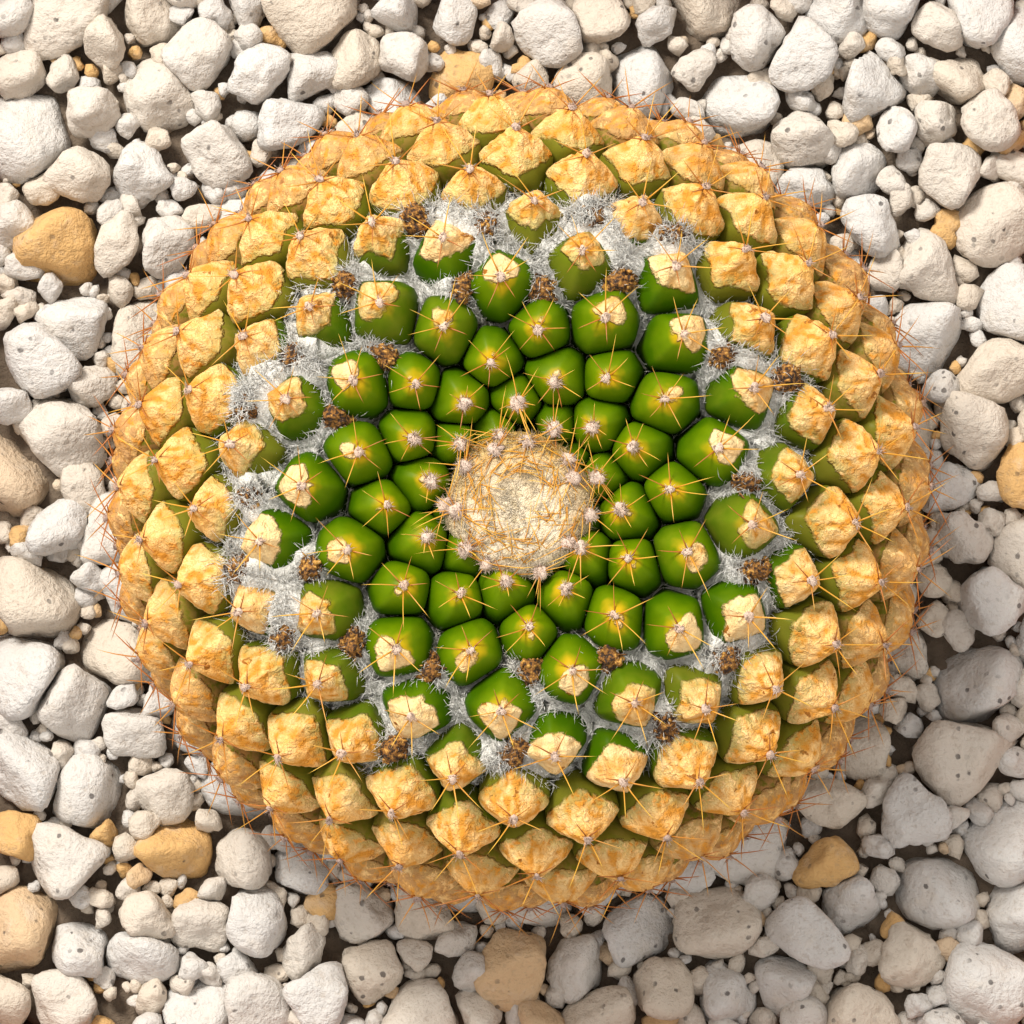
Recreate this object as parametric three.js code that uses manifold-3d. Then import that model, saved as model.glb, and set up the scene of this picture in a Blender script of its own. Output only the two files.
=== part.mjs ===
// A Mammillaria marksiana in a plain square terracotta pot, top-dressed with pumice gravel.
// Millimetres, +Z up. The origin is the centre of the pot's underside, and -Y is the front.
import * as THREE from 'three';
import { mergeVertices } from 'three/addons/utils/BufferGeometryUtils.js';
import { ConvexHull } from 'three/addons/math/ConvexHull.js';
import Module from 'manifold-3d';

const wasm = await Module();
wasm.setup();

// Driving sizes.
const GAP = 0.35;                 // clearance between pieces that touch
const POT_HEIGHT = 112;
const POT_BASE_HALF = 61;         // half width of the underside
const POT_SHOULDER_HALF = 83;     // half width just under the rim band
const POT_RIM_HALF = 87.5;        // half width of the rim band
const RIM_BAND = 17;
const FLOOR_THICKNESS = 7;
const INNER_FLOOR_HALF = 56;
const INNER_RIM_HALF = 82;
const DRAIN_RADIUS = 7;
const MIX_TOP = 90;               // top of the potting mix
const GRAVEL_LEVEL = 102;         // mean top of the gravel
const GRAVEL_VALLEY = 98.6;       // where neighbouring stones meet
const GRAVEL_HOLE_RADIUS = 43.2;  // plain hole that the stem stands in
const STONES = 152;
const STONE_CANDIDATES = 14;      // draws for each stone, of which the one with most room is kept
const STONE_EDGE = 4.6;           // least distance of a stone's middle from the wall
const STONE_CORNER = 6;
const STONE_HEIGHT = [4.4, 2.6];  // least height over the valleys, and what a draw adds
const HIDDEN_STONE_HEIGHT = [3.6, 1.2];
const HIDDEN_RADIUS = 64;         // stones nearer to the axis lie under the plant
const STONE_TILT = 0.22;
const ROOT_HOLE_RADIUS = 8;
const ROOT_HOLE_DEPTH = 42;
const STEM_LEVEL = GRAVEL_LEVEL + 30;   // height of the stem's own zero level

// Growth of the stem: tubercle n stands one divergence angle clockwise of tubercle n - 1, seen from above.
const DIVERGENCE = THREE.MathUtils.degToRad(137.54);
const PHASE = THREE.MathUtils.degToRad(237.6);
const FIRST_TUBERCLE = 24;
const LAST_TUBERCLE = 264;
const LAST_GHOST = 318;           // lattice points past the last tubercle, which only bound its cell
// Age n, radius and height of the areole, lean of the tubercle from the vertical (degrees), its length.
const GROWTH = [
  [0, 0.0, 13.6, 0, 4.2],
  [10, 5.6, 14.2, -18, 4.8],
  [20, 10.2, 15.6, -19, 6.0],
  [33, 15.8, 17.6, -12, 7.9],
  [49, 23.8, 19.6, 0, 9.0],
  [63, 31.7, 20.4, 13, 9.5],
  [82, 40.3, 18.6, 27, 9.6],
  [100, 46.2, 15.5, 40, 9.6],
  [120, 50.7, 11.4, 52, 9.6],
  [144, 54.6, 5.8, 64, 9.6],
  [170, 57.0, -1.2, 75, 9.6],
  [195, 57.6, -8.4, 85, 9.5],
  [220, 57.0, -15.2, 92, 9.3],
  [245, 55.2, -21.5, 98, 9.0],
  [270, 52.2, -27.0, 102, 8.4],
  [320, 45.5, -36.0, 106, 7.0],
];
const SHOULDER_RISE = 0.62;       // where a tubercle is widest
const SHOULDER_PULL = [0.17, 0.1];    // share by which the shoulder draws in, and what the youngest add
const AREOLE_TURN = 0.18;         // how far an areole turns toward the plant's top
const AREOLE_RADIUS = 1.05;
const AREOLE_HEIGHT = 0.12;
const NEIGHBOUR_REACH = 17;       // tubercles whose tips are nearer are tested against a spine
const SPINE_CLEARANCE = 0.75;
const SPINE_RISE = [24, 34, 15];  // degrees over the areole's plane: least, added by youth, added by a draw
const SPINE_SPREAD = 0.5;         // radians that a draw turns a spine by
const SPINE_DRAWS = 60;
const SPINES_PER_AREOLE = 5;
const SPINE_LENGTHS = [4.6, 6.2, 7.2, 6.2, 4.6];
const FLOWER_REMAINS = 22;
const REMAINS_AGES = [50, 86];
const REMAINS_APART = 9;
const REMAINS_HALF = [1.75, 1.45];
const WOOL_RADIUS = 11.5;         // room that the other spines leave round the wool cushion
const WOOL_MIDDLE = STEM_LEVEL + 13.0;
const WOOL_RISE = 4.9;
// Levels of the wool cushion: rise between the axil floor and the areoles, share of the dip's width, lift,
// and share of the dip's corners kept.
const WOOL_LEVELS = [
  [0, 0.93, 0.4, 1],
  [0.55, 0.92, 0, 1],
  [0.95, 0.84, 0.2, 1],
  [1, 0.6, 1.7, 0.5],
  [1, 0.3, 2.5, 0.5],
];
const WOOL_CREST = 3.6;
const WOOL_SPINE_SHARE = 0.42;
// The foot and taproot under the last tubercles: radius, height, sides.
const FOOT = [
  [41.8, GRAVEL_LEVEL + 0.5, 30],
  [41.4, GRAVEL_LEVEL - 7, 30],
  [35, MIX_TOP + GAP, 24],
  [7.2, MIX_TOP + GAP, 12],
  [5.2, MIX_TOP - 14, 10],
  [2.6, MIX_TOP - 34, 8],
];
const ROOT_TIP = MIX_TOP - 37;

// Helpers.
function seeded(seed) {
  let state = seed >>> 0;
  return () => {
    state = (state + 0x6d2b79f5) >>> 0;
    let t = Math.imul(state ^ (state >>> 15), 1 | state);
    t = (t + Math.imul(t ^ (t >>> 7), 61 | t)) ^ t;
    return ((t ^ (t >>> 14)) >>> 0) / 4294967296;
  };
}

function growthAt(n) {
  let i = 1;
  while (i < GROWTH.length - 1 && GROWTH[i][0] < n) i += 1;
  const a = GROWTH[i - 1];
  const b = GROWTH[i];
  const t = (n - a[0]) / (b[0] - a[0]);
  const [radius, height, leanDegrees, length] = [1, 2, 3, 4].map((k) => a[k] + (b[k] - a[k]) * t);
  return { radius, height, lean: THREE.MathUtils.degToRad(leanDegrees), length };
}

// Point on the plant at age n and longitude angle: rise 0 is the axil floor, 1 the areoles' level.
function plantPoint(n, angle, rise) {
  const g = growthAt(n);
  const back = (1 - rise) * g.length;
  const radius = Math.max(0, g.radius - back * Math.sin(g.lean));
  const height = g.height - back * Math.cos(g.lean);
  return new THREE.Vector3(radius * Math.cos(angle), radius * Math.sin(angle), STEM_LEVEL + height);
}

const longitude = (n) => PHASE - n * DIVERGENCE;

class Faces {
  constructor() {
    this.points = [];
    this.index = [];
  }

  add(point) {
    this.points.push(point.clone());
    return this.points.length - 1;
  }

  triangle(a, b, c) {
    if (a !== b && b !== c && c !== a) this.index.push(a, b, c);
  }

  // Joins two closed rings of vertices, both running the same way round; `at` gives each vertex's angle.
  stitch(lower, upper, at) {
    const turn = (x) => ((((x + Math.PI) % (2 * Math.PI)) + 2 * Math.PI) % (2 * Math.PI)) - Math.PI;
    const start = at(lower[0]);
    const offsets = upper.map((v) => Math.abs(turn(at(v) - start)));
    const first = offsets.indexOf(Math.min(...offsets));
    const ring = upper.map((_, i) => upper[(first + i) % upper.length]);
    const unroll = (list) => {
      let value = start + turn(at(list[0]) - start);
      return list.concat(list[0]).map((v, i) => {
        if (i > 0) value += turn(at(v) - at(list[i - 1]));
        return value;
      });
    };
    const low = unroll(lower);
    const up = unroll(ring);
    const apart = (v, w) => this.points[v].distanceTo(this.points[w]);
    let i = 0;
    let j = 0;
    while (i < lower.length || j < ring.length) {
      const a = lower[i % lower.length];
      const b = ring[j % ring.length];
      const nearer = apart(lower[(i + 1) % lower.length], b) < apart(a, ring[(j + 1) % ring.length]);
      const ahead = low[Math.min(i + 1, lower.length)] - up[Math.min(j + 1, ring.length)];
      const lowerNext = Math.abs(ahead) > 0.5 ? ahead < 0 : nearer;
      const stepLower = j === ring.length || (i < lower.length && lowerNext);
      if (stepLower) {
        this.triangle(a, lower[(i + 1) % lower.length], b);
        i += 1;
      } else {
        this.triangle(a, ring[(j + 1) % ring.length], b);
        j += 1;
      }
    }
  }

  fan(ring, centre) {
    ring.forEach((v, i) => this.triangle(v, ring[(i + 1) % ring.length], centre));
  }

  geometry() {
    const geometry = new THREE.BufferGeometry();
    const position = new Float32Array(this.points.length * 3);
    this.points.forEach((p, i) => p.toArray(position, i * 3));
    geometry.setAttribute('position', new THREE.BufferAttribute(position, 3));
    geometry.setIndex(this.index);
    return geometry;
  }
}

function toSolid(geometry) {
  const bare = geometry.clone();
  bare.deleteAttribute('normal');
  bare.deleteAttribute('uv');
  const merged = mergeVertices(bare, 1e-4);
  return new wasm.Manifold(new wasm.Mesh({
    numProp: 3,
    vertProperties: new Float32Array(merged.attributes.position.array),
    triVerts: new Uint32Array(merged.index.array),
  }));
}

// The largest connected body of a solid, as a geometry.
function toGeometry(solid) {
  const bodies = solid.decompose();
  const body = bodies.reduce((a, b) => (b.volume() > a.volume() ? b : a));
  const mesh = body.getMesh();
  const geometry = new THREE.BufferGeometry();
  geometry.setAttribute('position', new THREE.BufferAttribute(new Float32Array(mesh.vertProperties), 3));
  geometry.setIndex(new THREE.BufferAttribute(new Uint32Array(mesh.triVerts), 1));
  return geometry;
}

function upright(geometry, z) {
  geometry.rotateX(Math.PI / 2);
  geometry.translate(0, 0, z);
  return geometry;
}

// The pot, the potting mix and the gravel bed.
function roundedSquare(half, radius, steps = 4) {
  const points = [];
  for (let corner = 0; corner < 4; corner += 1) {
    const centre = new THREE.Vector2(half - radius, half - radius)
      .rotateAround(new THREE.Vector2(), corner * Math.PI / 2);
    for (let i = 0; i <= steps; i += 1) {
      const angle = corner * Math.PI / 2 + (i / steps) * Math.PI / 2;
      const spoke = new THREE.Vector2(Math.cos(angle), Math.sin(angle));
      points.push(spoke.multiplyScalar(radius).add(centre));
    }
  }
  return points;
}

// A closed body through rounded squares given as [height, half width, corner radius], from the bottom on.
function loftSquares(rings) {
  const faces = new Faces();
  const loops = rings.map(([z, half, radius]) => roundedSquare(half, radius)
    .map((p) => faces.add(new THREE.Vector3(p.x, p.y, z))));
  loops.slice(1).forEach((loop, k) => {
    const below = loops[k];
    loop.forEach((v, i) => {
      const j = (i + 1) % loop.length;
      faces.triangle(below[i], below[j], v);
      faces.triangle(below[j], loop[j], v);
    });
  });
  const first = loops[0].slice().reverse();
  faces.fan(first, faces.add(new THREE.Vector3(0, 0, rings[0][0])));
  const last = loops[loops.length - 1];
  faces.fan(last, faces.add(new THREE.Vector3(0, 0, rings[rings.length - 1][0])));
  return faces.geometry();
}

function innerHalf(z) {
  const t = (z - FLOOR_THICKNESS) / (POT_HEIGHT - 2 - FLOOR_THICKNESS);
  return INNER_FLOOR_HALF + (INNER_RIM_HALF - INNER_FLOOR_HALF) * t;
}

const innerCorner = (z) => 6 + 3 * (z / POT_HEIGHT);

function buildPot() {
  const bandFoot = POT_HEIGHT - RIM_BAND;
  const body = toSolid(loftSquares([
    [0, POT_BASE_HALF - 1.5, 10.5],
    [1.5, POT_BASE_HALF, 12],
    [bandFoot - 1.5, POT_SHOULDER_HALF, 13],
    [bandFoot, POT_RIM_HALF - 1, 15],
    [bandFoot + 1.2, POT_RIM_HALF, 15],
    [POT_HEIGHT - 2, POT_RIM_HALF, 15],
    [POT_HEIGHT, POT_RIM_HALF - 2, 13.5],
    [POT_HEIGHT, INNER_RIM_HALF + 1.4, 10.4],
    [POT_HEIGHT - 2, INNER_RIM_HALF, 9],
    [FLOOR_THICKNESS, INNER_FLOOR_HALF, innerCorner(FLOOR_THICKNESS)],
  ]));
  const drain = new THREE.CylinderGeometry(DRAIN_RADIUS, DRAIN_RADIUS, 30, 24);
  return toGeometry(body.subtract(toSolid(upright(drain, FLOOR_THICKNESS / 2))));
}

function bedSolid(bottom, top) {
  return toSolid(loftSquares([
    [bottom, innerHalf(bottom) - GAP, innerCorner(bottom)],
    [top, innerHalf(top) - GAP, innerCorner(top)],
  ]));
}

function buildMix() {
  const root = new THREE.CylinderGeometry(ROOT_HOLE_RADIUS, ROOT_HOLE_RADIUS * 0.45, ROOT_HOLE_DEPTH, 16);
  const hole = toSolid(upright(root, MIX_TOP + 1 - ROOT_HOLE_DEPTH / 2));
  return toGeometry(bedSolid(FLOOR_THICKNESS + GAP, MIX_TOP).subtract(hole));
}

// Holds a point inside the rounded square that the gravel fills at its valley level.
function insidePot(x, y, half, corner) {
  const core = half - corner;
  const over = new THREE.Vector2(Math.max(0, Math.abs(x) - core), Math.max(0, Math.abs(y) - core));
  if (over.length() > corner) over.setLength(corner);
  return new THREE.Vector2(Math.sign(x) * Math.min(Math.abs(x), core + over.x),
    Math.sign(y) * Math.min(Math.abs(y), core + over.y));
}

// Stones spread evenly by best-candidate draws, mirrored past the pot's walls and the stem's hole to bound
// their cells.
function stonePlaces(half) {
  const draw = seeded(4107);
  const edge = half - STONE_EDGE;
  const past = (value) => Math.max(0, Math.abs(value) - edge + STONE_CORNER);
  const stones = [];
  while (stones.length < STONES) {
    let best = null;
    for (let i = 0; i < STONE_CANDIDATES; i += 1) {
      const x = (2 * draw() - 1) * edge;
      const y = (2 * draw() - 1) * edge;
      if (Math.hypot(x, y) < GRAVEL_HOLE_RADIUS + 4.4) continue;
      if (Math.hypot(past(x), past(y)) > STONE_CORNER) continue;
      const room = Math.min(...stones.map((s) => Math.hypot(s.x - x, s.y - y)), 1000);
      if (!best || room > best.room) best = { x, y, room };
    }
    if (best) stones.push(best);
  }
  const ghosts = [];
  stones.forEach(({ x, y }) => {
    if (Math.abs(x) > half - 22) ghosts.push({ x: Math.sign(x) * 2 * half - x, y });
    if (Math.abs(y) > half - 22) ghosts.push({ x, y: Math.sign(y) * 2 * half - y });
    const r = Math.hypot(x, y);
    if (r < GRAVEL_HOLE_RADIUS + 24) {
      const k = (2 * GRAVEL_HOLE_RADIUS - r) / r;
      ghosts.push({ x: x * k, y: y * k });
    }
  });
  return { stones, ghosts };
}

const LIFT = 80;   // the stones are lifted onto a paraboloid whose convex hull gives each stone's neighbours

function buildGravel() {
  const half = innerHalf(GRAVEL_VALLEY) - GAP;
  const { stones, ghosts } = stonePlaces(half);
  const lifted = [...stones, ...ghosts].map(({ x, y }, i) => {
    const point = new THREE.Vector3(x / LIFT, y / LIFT, (x * x + y * y) / LIFT ** 2);
    point.stone = i;
    return point;
  });
  const hull = new ConvexHull().setFromPoints(lifted);
  const faces = new Faces();
  const around = stones.map(() => []);
  hull.faces.forEach((face) => {
    if (face.normal.z >= 0) return;
    const members = [face.edge, face.edge.next, face.edge.next.next].map((edge) => edge.head().point);
    if (members.every((p) => p.stone >= stones.length)) return;
    const middle = members.reduce((sum, p) => sum.add(p), new THREE.Vector3()).divideScalar(3);
    const centre = new THREE.Vector2(-face.normal.x, -face.normal.y).divideScalar(2 * face.normal.z);
    const spot = centre.multiplyScalar(LIFT).lerp(new THREE.Vector2(middle.x * LIFT, middle.y * LIFT), 0.4);
    const outer = members.some((p) => p.stone >= stones.length);
    if (outer && Math.hypot(spot.x, spot.y) < GRAVEL_HOLE_RADIUS + 14) spot.setLength(GRAVEL_HOLE_RADIUS);
    const held = insidePot(spot.x, spot.y, half, innerCorner(GRAVEL_VALLEY));
    const vertex = faces.add(new THREE.Vector3(held.x, held.y, GRAVEL_VALLEY));
    members.forEach((p) => {
      if (p.stone < stones.length) around[p.stone].push(vertex);
    });
  });
  const links = new Map();
  stones.forEach((stone, s) => {
    const draw = seeded(900 + s);
    const ring = around[s];
    const centre = new THREE.Vector3();
    ring.forEach((v) => centre.add(faces.points[v]));
    centre.divideScalar(ring.length);
    ring.sort((a, b) => Math.atan2(faces.points[a].y - centre.y, faces.points[a].x - centre.x)
      - Math.atan2(faces.points[b].y - centre.y, faces.points[b].x - centre.x));
    const underPlant = Math.hypot(centre.x, centre.y) < HIDDEN_RADIUS;
    const [least, added] = underPlant ? HIDDEN_STONE_HEIGHT : STONE_HEIGHT;
    const tall = least + added * draw();
    const tilt = new THREE.Vector2(draw() - 0.5, draw() - 0.5).multiplyScalar(STONE_TILT);
    const shoulder = ring.map((v) => {
      const p = faces.points[v].clone().lerp(centre, 0.2 + 0.12 * draw());
      p.z += tall * (0.62 + 0.16 * draw()) + tilt.x * (p.x - centre.x) + tilt.y * (p.y - centre.y);
      return faces.add(p);
    });
    const top = faces.add(centre.clone().setZ(GRAVEL_VALLEY + tall));
    ring.forEach((v, i) => {
      const j = (i + 1) % ring.length;
      faces.triangle(v, ring[j], shoulder[i]);
      faces.triangle(ring[j], shoulder[j], shoulder[i]);
      links.set(`${v}>${ring[j]}`, [v, ring[j]]);
    });
    faces.fan(shoulder, top);
  });
  const open = new Map([...links.values()].filter(([a, b]) => !links.has(`${b}>${a}`)));
  const loopFrom = (start) => {
    const ring = [];
    let v = start;
    do {
      ring.push(v);
      v = open.get(v);
    } while (v !== start && ring.length < 500);
    return ring;
  };
  const radius = (v) => Math.hypot(faces.points[v].x, faces.points[v].y);
  const starts = [...open.keys()].sort((a, b) => radius(a) - radius(b));
  const hole = loopFrom(starts[0]);
  const rim = loopFrom(starts[starts.length - 1]);
  const polar = (v) => Math.atan2(faces.points[v].y, faces.points[v].x);
  const bottom = MIX_TOP + GAP;
  const outerFoot = roundedSquare(innerHalf(bottom) - GAP, innerCorner(bottom), 3)
    .map((p) => faces.add(new THREE.Vector3(p.x, p.y, bottom)));
  const innerFoot = [];
  for (let i = 0; i < 30; i += 1) {
    const turn = (i / 30) * 2 * Math.PI;
    const p = new THREE.Vector2(GRAVEL_HOLE_RADIUS, 0).rotateAround(new THREE.Vector2(), turn);
    innerFoot.push(faces.add(new THREE.Vector3(p.x, p.y, bottom)));
  }
  faces.stitch(outerFoot, rim, polar);
  faces.stitch(innerFoot, outerFoot, polar);
  const holeUp = hole.slice().reverse();
  faces.stitch(holeUp, innerFoot, polar);
  return toGeometry(toSolid(faces.geometry()));
}

// The stem: its ages are spread over a sphere without stretching the spiral, and a convex hull of them finds
// each point's neighbours.
function conformalTable() {
  const table = [];
  let q = 0;
  for (let n = 1; n <= LAST_GHOST + 2; n += 0.25) {
    const here = plantPoint(n, 0, 0.5);
    const next = plantPoint(n + 0.25, 0, 0.5);
    table.push([n, q]);
    q += here.distanceTo(next) / (0.5 * (here.x + next.x));
  }
  const middle = table.find(([n]) => n >= 120)[1];
  return table.map(([n, value]) => [n, value - middle]);
}

function lookUp(table, value, from, to) {
  let low = 0;
  let high = table.length - 1;
  while (high - low > 1) {
    const mid = (low + high) >> 1;
    if (table[mid][from] < value) low = mid; else high = mid;
  }
  const t = THREE.MathUtils.clamp((value - table[low][from]) / (table[high][from] - table[low][from]), 0, 1);
  return table[low][to] + (table[high][to] - table[low][to]) * t;
}

// The stem's cells: for each age the corners of its cell in the axils, each with an age, a longitude, an id.
function phyllotaxis() {
  const table = conformalTable();
  const points = [];
  for (let n = 1; n <= LAST_GHOST; n += 1) {
    const q = lookUp(table, n, 0, 1);
    const angle = longitude(n);
    const point = new THREE.Vector3(Math.cos(angle), Math.sin(angle), -Math.sinh(q));
    point.divideScalar(Math.cosh(q));
    point.age = n;
    points.push(point);
  }
  const hull = new ConvexHull().setFromPoints(points);
  const cells = new Map(points.map((p) => [p.age, { age: p.age, direction: p, corners: [] }]));
  hull.faces.forEach((face, id) => {
    const around = [];
    let edge = face.edge;
    do {
      around.push(edge.head().point);
      edge = edge.next;
    } while (edge !== face.edge);
    const middle = around.reduce((sum, p) => sum.add(p), new THREE.Vector3()).normalize();
    const direction = middle.multiplyScalar(0.45).addScaledVector(face.normal, 0.55).normalize();
    const age = lookUp(table, -Math.atanh(THREE.MathUtils.clamp(direction.z, -0.999999, 0.999999)), 1, 0);
    const angle = Math.atan2(direction.y, direction.x);
    const corner = { id, age, angle, direction, ages: around.map((p) => p.age) };
    around.forEach((p) => cells.get(p.age).corners.push(corner));
  });
  cells.forEach((cell) => {
    const axis = cell.direction.clone().normalize();
    const east = new THREE.Vector3(-axis.y, axis.x, 0).normalize();
    const north = axis.clone().cross(east);
    const bearing = (c) => Math.atan2(c.direction.dot(north), c.direction.dot(east));
    cell.corners.sort((a, b) => bearing(a) - bearing(b));
  });
  return cells;
}

// The frame of tubercle n: its axis, and the directions sideways and toward the plant's top across it.
function tubercleFrame(n) {
  const angle = longitude(n);
  const { lean } = growthAt(n);
  const outward = new THREE.Vector3(Math.cos(angle), Math.sin(angle), 0);
  const axis = outward.multiplyScalar(Math.sin(lean)).setZ(Math.cos(lean));
  const east = new THREE.Vector3(-Math.sin(angle), Math.cos(angle), 0);
  const north = axis.clone().cross(east);
  return { axis, east, north, tip: plantPoint(n, angle, 1), root: plantPoint(n, angle, 0) };
}

function segmentsApart(a, b, c, d) {
  const u = b.clone().sub(a);
  const v = d.clone().sub(c);
  const w = a.clone().sub(c);
  const [uu, uv, vv, uw, vw] = [u.dot(u), u.dot(v), v.dot(v), u.dot(w), v.dot(w)];
  const det = uu * vv - uv * uv;
  let s = det > 1e-9 ? THREE.MathUtils.clamp((uv * vw - vv * uw) / det, 0, 1) : 0;
  const t = THREE.MathUtils.clamp((uv * s + vw) / vv, 0, 1);
  s = THREE.MathUtils.clamp((uv * t - uw) / uu, 0, 1);
  return a.clone().addScaledVector(u, s).distanceTo(c.clone().addScaledVector(v, t));
}

// Spines already placed and the tubercle faces near them, which each new spine has to clear.
class Thicket {
  constructor() {
    this.spines = [];
    this.walls = new Map();
  }

  clear(base, tip, owner, neighbours) {
    const crossing = this.spines.some((s) => (s.owner !== owner || s.owner === 'wool')
      && s.base.distanceTo(base) < 18 && segmentsApart(s.base, s.tip, base, tip) < SPINE_CLEARANCE);
    if (crossing) return false;
    const reach = tip.clone().sub(base);
    const ray = new THREE.Ray(base, reach.clone().normalize());
    const hit = new THREE.Vector3();
    const length = reach.length() + 0.4;
    const blocked = neighbours.some((n) => (this.walls.get(n) || []).some(([a, b, c]) => (
      ray.intersectTriangle(a, b, c, false, hit) !== null && hit.distanceTo(base) < length)));
    if (blocked) return false;
    if (owner === 'wool') return true;
    for (let t = 0.3; t <= 1; t += 0.1) {
      const p = base.clone().addScaledVector(reach, t);
      const out = Math.hypot(p.x, p.y);
      if (out < WOOL_RADIUS + 1.2 && p.z < WOOL_MIDDLE + WOOL_RISE + 1.4) {
        const inside = (out / (WOOL_RADIUS + 0.9)) ** 2 + ((p.z - WOOL_MIDDLE) / (WOOL_RISE + 1.2)) ** 2;
        if (inside < 1) return false;
      }
    }
    return true;
  }
}

function buildStem(thicket) {
  const cells = phyllotaxis();
  const faces = new Faces();
  const floor = new Map();
  const real = (age) => age >= FIRST_TUBERCLE && age <= LAST_TUBERCLE;
  const floorVertex = (corner) => {
    if (!floor.has(corner.id)) floor.set(corner.id, faces.add(plantPoint(corner.age, corner.angle, 0)));
    return floor.get(corner.id);
  };
  const areoles = [];
  for (let n = FIRST_TUBERCLE; n <= LAST_TUBERCLE; n += 1) {
    const cell = cells.get(n);
    const frame = tubercleFrame(n);
    const young = THREE.MathUtils.smoothstep(n, 20, 48);
    const waist = frame.root.clone().lerp(frame.tip, SHOULDER_RISE);
    const pull = SHOULDER_PULL[0] + SHOULDER_PULL[1] * (1 - young);
    const low = cell.corners.map(floorVertex);
    const shoulder = cell.corners.map((c) => (
      faces.add(plantPoint(c.age, c.angle, SHOULDER_RISE).lerp(waist, pull))));
    const up = frame.axis.clone().addScaledVector(frame.north, AREOLE_TURN).normalize();
    const north = frame.north.clone().addScaledVector(up, -frame.north.dot(up)).normalize();
    const radius = AREOLE_RADIUS * (0.8 + 0.2 * young);
    const rim = [];
    for (let k = 0; k < SPINES_PER_AREOLE; k += 1) {
      const angle = Math.PI / 2 + (k * 2 * Math.PI) / SPINES_PER_AREOLE;
      rim.push(faces.add(frame.tip.clone().addScaledVector(frame.east, radius * Math.cos(angle))
        .addScaledVector(north, radius * Math.sin(angle))));
    }
    const bearing = (v) => {
      const offset = faces.points[v].clone().sub(frame.tip);
      return Math.atan2(offset.dot(frame.north), offset.dot(frame.east));
    };
    const wallStart = faces.index.length;
    low.forEach((v, i) => {
      const j = (i + 1) % low.length;
      faces.triangle(v, low[j], shoulder[i]);
      faces.triangle(low[j], shoulder[j], shoulder[i]);
    });
    faces.stitch(shoulder, rim, bearing);
    const walls = [];
    for (let i = wallStart; i < faces.index.length; i += 3) {
      walls.push([0, 1, 2].map((k) => faces.points[faces.index[i + k]]));
    }
    thicket.walls.set(n, walls);
    const heart = faces.add(frame.tip.clone().addScaledVector(up, AREOLE_HEIGHT));
    areoles.push({ n, frame, north, up, rim, heart, young });
  }
  const near = new Map();
  areoles.forEach((a) => near.set(a.n, areoles.filter((b) => b !== a
    && b.frame.tip.distanceTo(a.frame.tip) < NEIGHBOUR_REACH).map((b) => b.n)));
  const draw = seeded(77);
  areoles.forEach((areole) => {
    const { n, frame, rim, heart } = areole;
    const old = THREE.MathUtils.smoothstep(n, 110, 190);
    for (let k = 0; k < rim.length; k += 1) {
      const next = (k + 1) % rim.length;
      const base = new THREE.Vector3();
      [rim[k], rim[next], heart].forEach((v) => base.add(faces.points[v]));
      base.divideScalar(3);
      const length = SPINE_LENGTHS[k] * (0.72 + 0.28 * areole.young - 0.1 * old);
      const least = SPINE_RISE[0] + SPINE_RISE[1] * (1 - areole.young);
      let tip = null;
      for (let attempt = 0; attempt < SPINE_DRAWS && !tip; attempt += 1) {
        const middle = Math.PI / 2 + ((k + 0.5) * 2 * Math.PI) / rim.length;
        const bearing = middle + (draw() - 0.5) * SPINE_SPREAD;
        const rise = THREE.MathUtils.degToRad(least + SPINE_RISE[2] * draw() + attempt * 0.6);
        const across = frame.east.clone().multiplyScalar(Math.cos(bearing))
          .addScaledVector(areole.north, Math.sin(bearing));
        const direction = across.multiplyScalar(Math.cos(rise)).addScaledVector(areole.up, Math.sin(rise));
        const reach = length * (0.9 + 0.2 * draw()) * (1 - 0.006 * attempt);
        const lowest = GRAVEL_LEVEL + 5;
        if (base.z + direction.z * reach < lowest) {
          direction.z = Math.max(direction.z, (lowest - base.z) / reach);
        }
        const candidate = base.clone().addScaledVector(direction.normalize(), reach);
        if (thicket.clear(base, candidate, n, near.get(n))) tip = candidate;
      }
      if (!tip) {
        faces.triangle(rim[k], rim[next], heart);
        continue;
      }
      thicket.spines.push({ base, tip, owner: n });
      const point = faces.add(tip);
      faces.triangle(rim[k], rim[next], point);
      faces.triangle(rim[next], heart, point);
      faces.triangle(heart, rim[k], point);
    }
  });
  // The open edges toward the top and the bottom: cell sides that only one tubercle has.
  const loop = (isGhost) => {
    const links = new Map();
    for (let n = FIRST_TUBERCLE; n <= LAST_TUBERCLE; n += 1) {
      const { corners } = cells.get(n);
      corners.forEach((c, i) => {
        const d = corners[(i + 1) % corners.length];
        const shared = c.ages.filter((age) => d.ages.includes(age) && age !== n);
        if (shared.length && shared.every((age) => !real(age) && isGhost(age))) {
          links.set(floorVertex(d), floorVertex(c));
        }
      });
    }
    const ring = [];
    let v = links.keys().next().value;
    do {
      ring.push(v);
      v = links.get(v);
    } while (v !== undefined && v !== ring[0] && ring.length < 500);
    return ring;
  };
  const top = loop((age) => age < FIRST_TUBERCLE);
  faces.fan(top, faces.add(plantPoint(0, 0, 0)));
  const dip = top.map((v) => [...floor.entries()].find(([, vertex]) => vertex === v)[0]);
  const polar = (v) => Math.atan2(faces.points[v].y, faces.points[v].x);
  let below = loop((age) => age > LAST_TUBERCLE);
  // Down into the gravel and the mix: a smooth foot and a short taproot.
  FOOT.forEach(([radius, height, sides]) => {
    const ring = [];
    for (let i = 0; i < sides; i += 1) {
      const angle = -(i / sides) * 2 * Math.PI;
      ring.push(faces.add(new THREE.Vector3(radius * Math.cos(angle), radius * Math.sin(angle), height)));
    }
    faces.stitch(below, ring, (v) => -polar(v));
    below = ring;
  });
  faces.fan(below, faces.add(new THREE.Vector3(0, 0, ROOT_TIP)));
  const corners = new Map();
  cells.forEach((cell) => cell.corners.forEach((c) => corners.set(c.id, c)));
  return { cells, dip: dip.map((id) => corners.get(id)), stem: toSolid(faces.geometry()) };
}

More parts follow.
